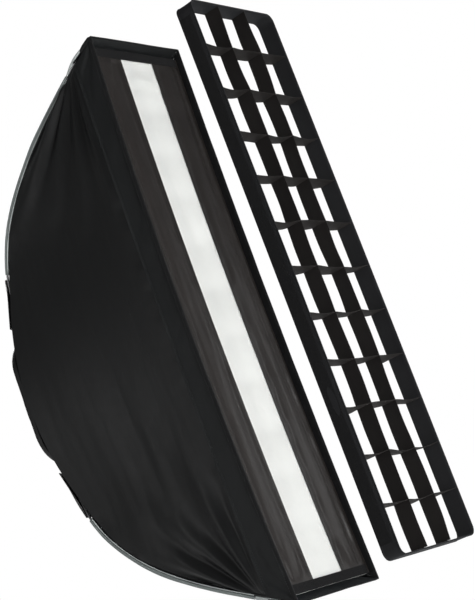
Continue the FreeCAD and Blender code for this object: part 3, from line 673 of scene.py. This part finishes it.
def seam_pieces(key, seed):
    """One corner's grey sleeve and piping, the rim's loose grey piece and the black pocket."""
    top = CORNERS[key][1] > 0
    t0 = rod_t(SLEEVE_Z)
    t = np.linspace(t0, SLEEVE_END_T, 160)
    wander = np.stack([0.5 * MM * noise1(t * 14, seed), 0.4 * MM * noise1(t * 18, seed + 1)], -1)
    slim = 0.45 if top else 0.0  # the top corners' piping thins out at its front end

    def sleeve_section(s):
        full = math.sin(math.pi * min(1.0, s * 0.9 + 0.1)) + 0.4 * bump(s / 0.05)
        wide = (2.25 + 0.9 * full) * MM * (1 + 0.06 * noise1(s * 13, seed + 2))
        thick = 2.5 * MM * (1 + 0.08 * noise1(s * 17 + 4, seed + 3))
        return oval(thick, wide, 18, (0.0, 0.3 * MM), 0.85)

    corner_sweep(key, t, sleeve_section, "rod_sleeve_cloth_" + key, SLEEVE,
                 ["rod_sleeve_" + key], wander)

    def piping_section(s):
        taper = 1 - slim * float(smooth((s - 0.8) / 0.2))
        radius = 0.85 * MM * (1 + 0.3 * noise1(s * 23, seed + 6)) * taper
        return oval(radius, radius, 8, (2.4 * MM, -3.8 * MM))

    corner_sweep(key, t, piping_section, "seam_piping_" + key, PIPING, (), wander * 0.4)
    whole = np.linspace(t0, 0.99, 170)

    def groove_section(s):
        grow = 1.4 * float(smooth((s - 0.84) / 0.05))
        return oval((2.0 + 0.8 * grow) * MM, (2.5 + 0.3 * grow) * MM, 12, (0.0, -(4.1 + 0.5 * grow) * MM))

    corner_sweep(key, whole, groove_section, "seam_allowance_" + key, NYLON)
    t = np.linspace(SLEEVE_END_T + 0.004, 0.988, 44)
    bulge = np.sin(math.pi * np.linspace(0, 1, len(t)))
    drift = np.stack([((3.2 if top else 1.6) * bulge - 0.6) * MM, 0.8 * MM * bulge], -1)

    def loop_section(s):
        wide = ((1.7 if top else 3.0) + 1.0 * math.sin(math.pi * s)) * MM
        return oval(2.6 * MM, wide, 16, (0.0, 0.4 * MM), 0.85)

    corner_sweep(key, t, loop_section, "rim_sleeve_cloth_" + key, PIPING, (), drift)
    t = np.linspace(0.972, 1.0, 14)
    points, ahead, _, _ = rod(t)

    def pocket_section(s):
        grow = 0.85 + 0.15 * math.sin(math.pi * s)
        return oval(3.7 * MM * grow, 4.0 * MM * grow, 18, (0.0, 0.0), 0.8)

    corner_sweep(key, t, pocket_section, "corner_pocket_cloth_" + key, NYLON,
                 ["corner_pocket_" + key])
    corner_tip(key, points[-1], ahead[-1])


TIP_LENGTH = 7.0 * MM


def corner_tip(key, end, ahead):
    """The pocket's closed, pinched tip over the rod's cap."""
    sx, sz = CORNERS[key]
    flip = np.array([sx, 1, sz])
    _, _, out, side = rod(np.array([1.0]))
    steps = np.linspace(0, 1, 10)
    path = end + ahead * (steps[:, None] * TIP_LENGTH)
    round_off = np.sqrt(np.maximum(0.0, 1 - steps**2.4))

    def section(s):
        size = float(np.interp(s, steps, round_off)) * 0.94 + 0.06
        return oval(3.2 * MM * size, 3.4 * MM * size, 18, (0.0, 0.0), 0.8)

    right, up = (np.repeat(v, len(steps), 0) * flip for v in (side, out))
    sweep("corner_tip_" + key, path * flip, right, up, section, NYLON, sharp_deg=60.0)


# ---- front --------------------------------------------------------------
def front_line(sx, inset=0.0, deeper=0.0):
    """The rim's front edge on one side, from bottom to top."""
    z_end = float(corner_z(0.0)) - EDGE_IN
    z = np.linspace(-z_end, z_end, 220)
    x, yf = rim_front(z, z_end)
    return np.stack([sx * (x - inset), FRONT_Y + yf + deeper, z], -1)


def binding_section(_):
    """Tape folded over the cloth's edge."""
    w, front, back = 1.1 * MM, -1.9 * MM, 5.0 * MM
    half = [(0, front), (0.6 * w, front + 0.3 * w), (w, front + w), (w, back), (0.5 * w, back + 0.3 * MM)]
    mirrored = [(-x, y) for x, y in half[:0:-1]]
    return np.array(mirrored[1:] + half + mirrored[:1])


LOOP_TAPE_YF, LOOP_TAPE_WIDE = 1.5, 20  # millimetres


def rim_trim():
    """Binding round the rim's front edge, and the loop tape inside its long sides."""
    backwards = np.array([0.0, 1.0, 0.0])
    for side, sx in (("left", -1), ("right", 1)):
        line = front_line(sx, inset=BINDING_IN)
        line[:, 0] += 0.35 * MM * noise1(line[:, 2] / 0.03, 3 + sx)
        right = np.repeat([[sx, 0.0, 0.0]], len(line), 0)
        up = np.repeat([backwards], len(line), 0)
        sweep("binding_" + side, line, right, up, binding_section, BINDING,
              nodes=["rim_binding"])
        stitch = front_line(sx, deeper=4.2 * MM)
        stitch[:, 0] += sx * 0.9 * MM
        stitches("binding_stitches_" + side, [stitch[3:-3]], (sx, 0, 0), THREAD)
        z_end = float(corner_z(0.0, SEAM_OFF)) - 6 * MM
        z, across = table(160, 8, -z_end, z_end)
        x, yf = rim_front(z, z_end)
        yf = FRONT_Y + yf + (LOOP_TAPE_YF + LOOP_TAPE_WIDE * across) * MM
        base = np.stack([sx * (x - 2.6 * MM - 0.5 * MM * across), yf, z], -1)
        relief = 0.2 * MM * noise1(z / 0.04, 5)
        cloth("rim_loop_tape_" + side, base, (-sx, 0, 0), relief, 0.9 * MM, TAPE,
              nodes=["rim_velcro"])
    for side, sz in (("top", 1), ("bottom", -1)):
        z = float(corner_z(0.0))
        x = np.linspace(-1, 1, 90) * END_RIM_HALF
        wave = 0.5 * MM * noise1(x / 0.035, 8 + sz)
        line = np.stack([x, FRONT_Y + 0 * x, sz * (z - BINDING_IN) + wave], -1)
        right = np.repeat([[0.0, 0.0, sz]], len(line), 0)
        up = np.repeat([backwards], len(line), 0)
        sweep("binding_" + side, line, right, up, binding_section, BINDING,
              nodes=["rim_binding"])


FRONT_HALF_X, FRONT_HALF_Z = 0.1075, 0.442
MASK_YF, FRONT_SAG = 9.1 * MM, 9.0 * MM
MASK_GAIN, MASK_DIP = 0.75, 3.6 * MM  # share of the mask's folds kept, and how deep they may sink
FLAT_Z, FLAT_FADE = 0.418, 0.010  # beyond this height the mask lies flat on the hem tape


def front_depth(z):
    """Depth of the diffuser and masks at height z: they sag back towards the middle."""
    return MASK_YF + FRONT_SAG * (1 - (z / FRONT_HALF_Z) ** 2)


def mask_relief(x, z, seed):
    """Slack folds that run along the mask, and gathers beside the rim; positive is forwards."""
    across = (np.abs(x) - STRIP_HALF) / (FRONT_HALF_X - STRIP_HALF)
    slack = np.sin(math.pi * np.clip(across, 0, 1))
    drift = 0.25 * noise1(z / 0.16, seed)
    # a broad ridge along the mask, a valley on each side of it, and a ridge beside the rim
    relief = 2.6 * MM * bump((across - 0.42 - drift * 0.4) / 0.15) * (0.6 + 0.4 * noise1(z / 0.13, seed + 1))
    relief -= 1.3 * MM * bump((across - 0.16 - drift * 0.2) / 0.09)
    deep = 2.6 * MM * (0.75 + 0.25 * noise1(z / 0.05, seed + 2))
    relief -= deep * bump((across - 0.76 - drift * 0.15) / 0.07)
    relief += 1.9 * MM * bump((across - 0.89) / 0.06) * (0.8 + 0.5 * noise1(z / 0.025, seed + 3))
    # leaning gathers towards the rim, fine crinkles, and gathers along the strip's edge and the ends
    lean = z / 0.035 + across * 2.2 + noise1(z / 0.08, seed + 4)
    relief += 1.2 * MM * noise1(lean, seed + 5) * smooth((across - 0.45) / 0.4) * slack
    relief += 0.5 * MM * noise2(x / 0.010, z / 0.035, seed + 6) * slack
    lean = z / 0.018 - across * 1.5
    relief += 0.9 * MM * noise1(lean, seed + 7) * bump((across - 0.14) / 0.10)
    ends = smooth((np.abs(z) - 0.34) / 0.08)
    relief += 2.2 * MM * noise1(across * 5 + z / 0.05, seed + 8) * ends * slack
    flat = 1 - smooth((np.abs(z) - FLAT_Z) / FLAT_FADE)
    return np.maximum(MASK_GAIN * relief, -MASK_DIP) * flat


HEM_HALF_X, HEM_Z, HEM_WIDE = 0.1035, 0.4275, 0.0145


def front_cloth():
    """Both masks, the diffuser behind them and its hem tapes."""
    forwards = (0, -1, 0)
    rows, tall = 300, FRONT_HALF_Z
    for side, sx in (("left", -1), ("right", 1)):
        zz, x = table(rows, 60, -tall, tall, sx * STRIP_HALF, sx * FRONT_HALF_X)
        base = np.stack([x, FRONT_Y + front_depth(zz), zz], -1)
        relief = mask_relief(x, zz, 20 + 9 * sx)
        cloth("strip_mask_cloth_" + side, base, forwards, relief, 0.7 * MM, MASK,
              nodes=["strip_mask_" + side])
        edge = base[:, :4] + np.array([0, -1, 0]) * (relief[:, :4, None] + 0.35 * MM)
        hem = [edge[3:-3, 0] + np.array([sx * 6.5 * MM, 0.15 * MM, 0])]
        stitches("mask_hem_stitches_" + side, hem, forwards, THREAD, lift=0.1 * MM)
    wide = FRONT_HALF_X - 2 * MM
    zz, x = table(rows, 90, -tall, tall, -wide, wide)
    under = smooth((np.abs(x) - STRIP_HALF) / 0.02) * smooth((FRONT_HALF_X - np.abs(x)) / 0.004)
    base = np.stack([x, FRONT_Y + front_depth(zz) + (2.0 + 5.0 * under) * MM, zz], -1)
    relief = -0.9 * MM * (1 - (x / STRIP_HALF) ** 2).clip(0) + 0.25 * MM * noise2(x / 0.03, zz / 0.09, 31)
    relief += 1.6 * MM * bump((zz - 0.398 + 0.25 * np.abs(x + 0.01)) / 0.010) * (np.abs(x) < 0.06)
    relief -= 1.2 * MM * bump((zz - 0.380) / 0.014) * (np.abs(x) < 0.06)
    cloth("diffuser_cloth", base, forwards, relief, 0.7 * MM, DIFFUSER,
          nodes=["front_diffuser"])
    for side, sz in (("top", 1), ("bottom", -1)):
        share, x = table(16, 110, start=-HEM_HALF_X, end=HEM_HALF_X)
        zz = sz * (HEM_Z + HEM_WIDE * share)
        base = np.stack([x, FRONT_Y + front_depth(zz) - 0.75 * MM, zz], -1)
        relief = 0.12 * MM * noise1(x / 0.012, 40 + sz) + 0.14 * MM * noise2(x / 0.03, share, 44 + sz)
        cloth("diffuser_hem_tape_" + side, base, forwards, relief, 0.6 * MM, TAPE,
              nodes=["diffuser_hems"])


def inner_baffle():
    """The second diffuser, hung inside the softbox."""
    low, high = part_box("inner_baffle")
    z, x = table(120, 50, low.z, high.z, low.x, high.x)
    pull = 1 - 0.04 * np.sin(math.pi * (z - low.z) / (high.z - low.z) * 2) ** 2
    base = np.stack([x * pull, high.y + 0 * x, z], -1)
    relief = 1.5 * MM * noise2(x / 0.04, z / 0.09, 51) - 3 * MM * (1 - (x / high.x) ** 2)
    relief = relief * smooth((high.x - np.abs(x)) / 0.02)
    cloth("inner_baffle_cloth", base, (0, 1, 0), relief, 0.7 * MM, DIFFUSER,
          nodes=["inner_baffle"])


TAB_Z, TAB_START_X = 0.280, 0.068
TAB_END_X, MIDDLE_TAB_END_X = 0.093, 0.101
TAB_WIDE, TAB_THICK = 12 * MM, 1.0 * MM


def baffle_tabs():
    """Six elastic tabs that hold the inner baffle to the side panels."""
    verts, faces = [], []
    low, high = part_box("baffle_tabs")
    steps = 9
    for sz in (-1, 0, 1):
        reach = TAB_END_X if sz else MIDDLE_TAB_END_X
        for sx in (-1, 1):
            first = len(verts)
            for k in range(steps):
                s = k / (steps - 1)
                x = TAB_START_X + (reach - TAB_START_X) * s
                y = (low.y + high.y) / 2 + 0.6 * MM * math.sin(9 * s)
                wide = TAB_WIDE * (1 - 0.12 * math.sin(math.pi * s))
                verts += [(sx * x, y + dy * TAB_THICK, sz * TAB_Z + dz * wide)
                          for dy in (0.5, -0.5) for dz in (-0.5, 0.5)]
            for k in range(steps - 1):
                a = first + 4 * k
                faces += [(a, a + 1, a + 5, a + 4), (a + 2, a + 6, a + 7, a + 3), (a, a + 4, a + 6, a + 2),
                          (a + 1, a + 3, a + 7, a + 5)]
            last = first + 4 * (steps - 1)
            faces += [(first, first + 2, first + 3, first + 1), (last, last + 1, last + 3, last + 2)]
    tabs = mesh_object("baffle_tab_strips", np.array(verts), faces)
    finish_piece(tabs, ELASTIC, "softbox", ["baffle_tabs"])


# ---- back ---------------------------------------------------------------
def ring_of(half_x, half_z, corner, count):
    """Points round a rounded rectangle, by angle, so that a disc and it can be joined ring to ring."""
    angle = np.linspace(0, 2 * math.pi, count, endpoint=False)
    dx, dz = np.cos(angle), np.sin(angle)
    found = []
    for c, s in zip(dx, dz):
        reach = min(half_x / max(abs(c), 1e-9), half_z / max(abs(s), 1e-9))
        x, z = reach * c, reach * s
        if abs(x) > half_x - corner and abs(z) > half_z - corner:
            cx, cz = math.copysign(half_x - corner, x), math.copysign(half_z - corner, z)
            b = c * cx + s * cz
            reach = b + math.sqrt(max(0.0, b * b - cx * cx - cz * cz + corner * corner))
            x, z = reach * c, reach * s
        found.append((x, z))
    return np.array(found)


COLLAR_HOLE, COLLAR_HALF, COLLAR_CORNER = 0.0700, (0.0872, 0.1110), 0.055
COLLAR_DROP, COLLAR_THICK = 10.0 * MM, 1.2 * MM


def rear_collar():
    """One gathered cloth ring, from the ring's face out to the panels' rear edges."""
    count, rings = 220, 26
    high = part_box("rear_collar")[1]
    inner = ring_of(COLLAR_HOLE, COLLAR_HOLE, COLLAR_HOLE - 0.1 * MM, count)
    outer = ring_of(*COLLAR_HALF, COLLAR_CORNER, count)
    angle = np.linspace(0, 2 * math.pi, count, endpoint=False)
    share = np.linspace(0, 1, rings)
    rows = []
    for s in share:
        x, z = (inner + (outer - inner) * smooth(s * 1.15)).T
        drop = smooth((s - 0.72) / 0.28) * COLLAR_DROP
        gather = noise1(angle * 10, 61) * 0.5 * MM * bump((s - 0.1) / 0.18)
        gather += noise1(angle * 6, 62) * 0.6 * MM * math.sin(math.pi * s)
        rows.append(np.stack([x, high.y - drop + gather - 0.3 * MM, z], -1))
    face = np.array(rows)
    index = np.arange(rings * count).reshape(rings, count)
    index = np.concatenate([index, index[:, :1]], 1)
    back = face.copy()
    back[..., 1] -= COLLAR_THICK
    # where the collar turns down, its inner face also has to come inwards
    back[-5:, :, 0] *= 0.985
    back[-5:, :, 2] *= 0.988
    total = rings * count
    sides = []
    for line, turn in ((index[0], 1), (index[-1], -1)):
        a, b = line[:-1], line[1:]
        sides.append(np.stack([a, b, b + total, a + total], -1)[:, ::turn])
    faces = np.concatenate([quads(index), quads(index + total)[:, ::-1], *sides])
    verts = np.concatenate([face.reshape(-1, 3), back.reshape(-1, 3)])
    piece = mesh_object("rear_collar_cloth", verts, faces, verts[:, [0, 2]])
    finish_piece(piece, NYLON, "softbox", ["rear_collar"])
    ring = face[2]
    stitches("collar_stitches", [np.concatenate([ring, ring[:1]])], (0, 1, 0), THREAD)


FLAP_CREST = 0.42  # share of a flap's width between its hinge and the rod's crest


def slit_flap(key, seed):
    """A flap that covers one seam's slit beside the ring; it rides on its own body."""
    sx, sz = CORNERS[key]
    joint = next(j for j in frame["joints"] if j["child"] == "flap_" + key)
    low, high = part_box("slit_flap_" + key)
    z0, z1 = sorted((abs(low.z), abs(high.z)))
    z0, z1 = z0 + 0.5 * MM, z1 - 0.5 * MM
    z, across = table(60, 40, z0, z1)
    pos, axis = np.array(joint["pos_m"]), np.array(joint["axis"])
    axis = axis * np.sign(axis[2] * sz)
    on_hinge = (z * sz - pos[2]) / axis[2]
    hinge_x = np.abs(pos[0] + on_hinge * axis[0])
    hinge_y = pos[1] + on_hinge * axis[1]
    crest_x, crest_y = rod_x(z), FRONT_Y + rod_yf(z) + 5.6 * MM
    far_x, far_y = rod_x(z) - 30 * MM, FRONT_Y + rod_yf(z) + 4.8 * MM
    share = np.clip(across / FLAP_CREST, 0, 1)
    rest = np.clip((across - FLAP_CREST) / (1 - FLAP_CREST), 0, 1)
    x = hinge_x + (crest_x - hinge_x) * share + (far_x - crest_x) * rest
    y = hinge_y + 1.2 * MM + (crest_y - hinge_y) * np.sin(share * math.pi / 2) + (far_y - crest_y) * rest
    base = np.stack([sx * x, y, sz * z], -1)
    relief = 0.5 * MM * noise2(across / 0.3, z / 0.02, seed) * np.sin(math.pi * across)
    cloth("slit_flap_cloth_" + key, base, (0, 1, 0), relief, 1.1 * MM, NYLON,
          body="flap_" + key, nodes=["slit_flap_" + key])
    inset = base[3:-3, 3:-3]
    loop = [inset[0], inset[:, -1], inset[-1][::-1]]
    stitches("slit_flap_stitches_" + key, [np.concatenate(loop)], (0, 1, 0), THREAD,
             body="flap_" + key)


# ---- grid ---------------------------------------------------------------
GRID_LOW, GRID_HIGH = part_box("grid_band_left")[0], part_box("grid_band_right")[1]
GRID_Y = (GRID_LOW.y, GRID_HIGH.y)
GRID_ZC = (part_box("grid_band_top")[1].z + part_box("grid_band_bottom")[0].z) / 2
GRID_HALF_X = GRID_HIGH.x
GRID_HALF_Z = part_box("grid_band_top")[1].z - GRID_ZC
GRID_ROWS, GRID_COLUMNS = 12, 3
GRID_CORNER = 0.013


def grid_outline():
    """Outer line of the whole band, in four stretches."""
    hx, hz, r = GRID_HALF_X, GRID_HALF_Z, GRID_CORNER
    side_z = np.linspace(-(hz - r), hz - r, 200)
    right = np.stack([hx + 0 * side_z, side_z], -1)
    left = np.stack([-hx + 0 * side_z, side_z], -1)[::-1]
    turn = np.linspace(0, math.pi / 2, 9)
    arc = np.stack([hx - r + r * np.cos(turn), hz - r + r * np.sin(turn)], -1)
    x = np.linspace(hx - r, -(hx - r), 60)[1:-1]
    top = np.concatenate([arc, np.stack([x, hz + 0 * x], -1), (arc * (-1, 1))[::-1]])
    bottom = top[::-1] * (1, -1)
    return {"right": right, "top": top, "left": left, "bottom": bottom}


def grid_band(side, line, seed):
    """One side of the grid's stiff band, with bound edges front and rear."""
    columns = 26
    across = np.linspace(0, 1, columns)[None, :] * np.ones((len(line), 1))
    x, z = line[:, :1] + 0 * across, line[:, 1:] + 0 * across
    base = np.stack([x, GRID_Y[0] + (GRID_Y[1] - GRID_Y[0]) * across, GRID_ZC + z], -1)
    direction = {"left": (-1, 0, 0), "right": (1, 0, 0), "top": (0, 0, 1), "bottom": (0, 0, -1)}[side]
    along = lengths(base, 0)
    middle = np.sin(math.pi * across)
    relief = 0.7 * MM * noise1(along / 0.11, seed) * middle
    relief += 0.35 * MM * noise2(along / 0.03, across / 0.4, seed + 1) * middle
    # the bound edges stand proud, with a stitched groove inside each
    relief += 0.55 * MM * (bump((across - 0.05) / 0.035) + bump((across - 0.95) / 0.035))
    relief -= 0.35 * MM * (bump((across - 0.12) / 0.02) + bump((across - 0.88) / 0.02))
    node = "grid_band_" + side
    cloth(node + "_cloth", base, direction, relief, 1.9 * MM, GRID_BAND, body="grid",
          nodes=[node])
    face = base + np.asarray(direction, float) * relief[..., None]
    keep = slice(10, -10) if side in ("top", "bottom") else slice(2, -2)
    stitches(node + "_stitches", [face[keep, 3], face[keep, -4]], direction, THREAD,
             body="grid")


TIE_SIDEWAYS, TIE_UPWARDS = 2.2 * MM, 2.6 * MM


def tie_offsets():
    """Where each crossing of the strips is pulled to, sideways and up."""
    rng = np.random.default_rng(12)
    sideways = rng.uniform(-1, 1, (GRID_COLUMNS + 1, GRID_ROWS + 1)) * TIE_SIDEWAYS
    upwards = rng.uniform(-1, 1, (GRID_COLUMNS + 1, GRID_ROWS + 1)) * TIE_UPWARDS
    sideways[[0, -1]] = 0
    sideways[:, [0, -1]] = 0
    upwards[:, [0, -1]] = 0
    upwards[[0, -1]] *= 0.5
    return sideways, upwards


STRIP_THICK = 0.9 * MM


def grid_strips():
    """The two long strips and the cross strips, slack between the ties at their crossings."""
    sideways, upwards = tie_offsets()
    low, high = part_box("grid_long_strip_left")[0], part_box("grid_long_strip_right")[1]
    y0, y1 = low.y, high.y
    half_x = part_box("grid_cross_strips")[1].x - 0.2 * MM
    half_z = (high.z - low.z) / 2 - 0.2 * MM
    columns = [(i / GRID_COLUMNS * 2 - 1) * half_x for i in range(GRID_COLUMNS + 1)]
    rows = [GRID_ZC + (j / GRID_ROWS * 2 - 1) * half_z for j in range(GRID_ROWS + 1)]
    depth = 16
    for i, name in ((1, "left"), (2, "right")):
        z, across = table(300, depth, rows[0], rows[-1])
        pulled = np.interp(z, rows, sideways[i])
        cell = (z - rows[0]) / (rows[1] - rows[0])
        between = np.abs(np.sin(cell * math.pi))
        sway = 2.0 * MM * noise1(cell + 0.5, 80 + i) * between
        lean = 1.6 * MM * (across - 0.5) * noise1(z / 0.05, 84 + i) * 2
        base = np.stack([columns[i] + pulled + 0 * z, y0 + (y1 - y0) * across, z], -1)
        cloth("grid_long_strip_cloth_" + name, base, (1, 0, 0), sway + lean, STRIP_THICK, GRID_STRIP,
              body="grid", nodes=["grid_long_strip_" + name])
    for j in range(1, GRID_ROWS):
        x, across = table(90, depth, -half_x, half_x)
        pulled = np.interp(x, columns, upwards[:, j])
        cell = (x + half_x) / (2 * half_x) * GRID_COLUMNS
        between = np.abs(np.sin(cell * math.pi))
        which = np.floor(cell.clip(0, GRID_COLUMNS - 0.001))
        sag = -(1.8 + 1.4 * noise1(which * 3.3 + j * 7.7, 90)) * MM * between
        curl = 2.2 * MM * (across - 0.5) * noise1(cell + j * 3.1, 91) * between * 2
        base = np.stack([x, y0 + (y1 - y0) * across, rows[j] + pulled + 0 * x], -1)
        cloth("grid_cross_strip_cloth_%02d" % j, base, (0, 0, 1), sag + curl, STRIP_THICK, GRID_STRIP,
              body="grid", nodes=["grid_cross_strips"])


def grid_tape():
    """Hook tape along both long sides of the grid."""
    low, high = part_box("grid_velcro")
    for side, sx in (("left", -1), ("right", 1)):
        z, across = table(120, 8, low.z, high.z)
        base = np.stack([sx * high.x + 0 * z, low.y + (high.y - low.y) * across, z], -1)
        relief = 0.15 * MM * noise1(z / 0.03, 95 + sx) - 0.15 * MM
        cloth("grid_hook_tape_" + side, base, (sx, 0, 0), relief, 0.8 * MM, TAPE, body="grid",
              nodes=["grid_velcro"])


# ---- stage --------------------------------------------------------------
CAMERA_AT = (-2.0668, -1.3892, -0.5486)  # from the front rim's centre
CAMERA_TURN, CAMERA_TILT, CAMERA_ROLL = 56.3034, 12.5792, -20.5401  # degrees: from +Y to +X, up, and over
LENS_MM, SENSOR_MM = 100.36, 36.0
FLOOR_DROP = 0.30
AMBIENT = 0.14  # the white room's share of the light on the object
LIGHT_TARGET = (0, -0.3, 0)
LIGHTS = (  # name, place, size across, watts
    ("key", (-0.95, -3.2, -0.55), 1.0, 104.0),
    ("side", (-2.0, 1.35, 0.0), 0.8, 2.2),
    ("gloss", (2.0, -1.8, 0.1), 0.8, 3.0),
    ("rear", (1.6, 2.4, 1.2), 1.6, 50.0))


def stage():
    """A pale floor, a white room, the lights and the camera."""
    bpy.ops.mesh.primitive_plane_add(size=12, location=(0, 0, CAD_BOX[0][2] - FLOOR_DROP))
    floor = bpy.context.object
    floor.name = "floor"
    n = Nodes("pale floor")
    stops = [(0.3, (0.91, 0.91, 0.91)), (0.7, (0.94, 0.94, 0.94))]
    n.link(n.ramp(n.noise(n.place(), 6.0), stops), "Base Color")
    n.set(Roughness=0.7, Emission_Strength=0.12)
    floor.data.materials.append(n.material)

    world = bpy.data.worlds.new("studio")
    bpy.context.scene.world = world
    world.use_nodes = True
    tree = world.node_tree
    backdrop = tree.nodes["Background"]
    backdrop.inputs["Color"].default_value = (1, 1, 1, 1)
    seen = tree.nodes.new("ShaderNodeLightPath").outputs["Is Camera Ray"]
    strength = tree.nodes.new("ShaderNodeMapRange")
    strength.inputs["To Min"].default_value = AMBIENT
    strength.inputs["To Max"].default_value = 1.0
    tree.links.new(seen, strength.inputs["Value"])
    tree.links.new(strength.outputs["Result"], backdrop.inputs["Strength"])
    bpy.context.scene.view_settings.view_transform = "Standard"

    for name, at, size, power in LIGHTS:
        light = bpy.data.lights.new(name, "AREA")
        light.size = size
        light.energy = power
        lamp = bpy.data.objects.new(name, light)
        lamp.location = at
        lamp.rotation_euler = (Vector(LIGHT_TARGET) - Vector(at)).to_track_quat("-Z", "Y").to_euler()
        bpy.context.scene.collection.objects.link(lamp)

    lens = bpy.data.cameras.new("camera")
    lens.lens = LENS_MM
    lens.sensor_width = SENSOR_MM
    lens.sensor_fit = "AUTO"
    lens.clip_end = 50
    camera = bpy.data.objects.new("camera", lens)
    turn = Matrix.Identity(3)
    for degrees, axis in ((-CAMERA_TURN, "Z"), (90 + CAMERA_TILT, "X"), (CAMERA_ROLL, "Z")):
        turn = turn @ Matrix.Rotation(math.radians(degrees), 3, axis)
    place = Vector(CAMERA_AT) + Vector((0, FRONT_Y, 0))
    camera.matrix_world = Matrix.Translation(place) @ turn.to_4x4()
    bpy.context.scene.collection.objects.link(camera)
    bpy.context.scene.camera = camera


# ---- build --------------------------------------------------------------
for side, sx in (("left", -1), ("right", 1)):
    side_cloth(side, sx, 10 + 4 * sx)
    rim_side(side, sx, 12 + 5 * sx)
for side, sz in (("top", 1), ("bottom", -1)):
    end_cloth(side, sz, 16 + 3 * sz)
for number, key in enumerate(CORNERS):
    seam_pieces(key, 100 + 11 * number)
    slit_flap(key, 150 + 7 * number)
rim_trim()
front_cloth()
inner_baffle()
baffle_tabs()
rear_collar()
for side, line in grid_outline().items():
    grid_band(side, line, 70 + len(side))
grid_strips()
grid_tape()
stage()
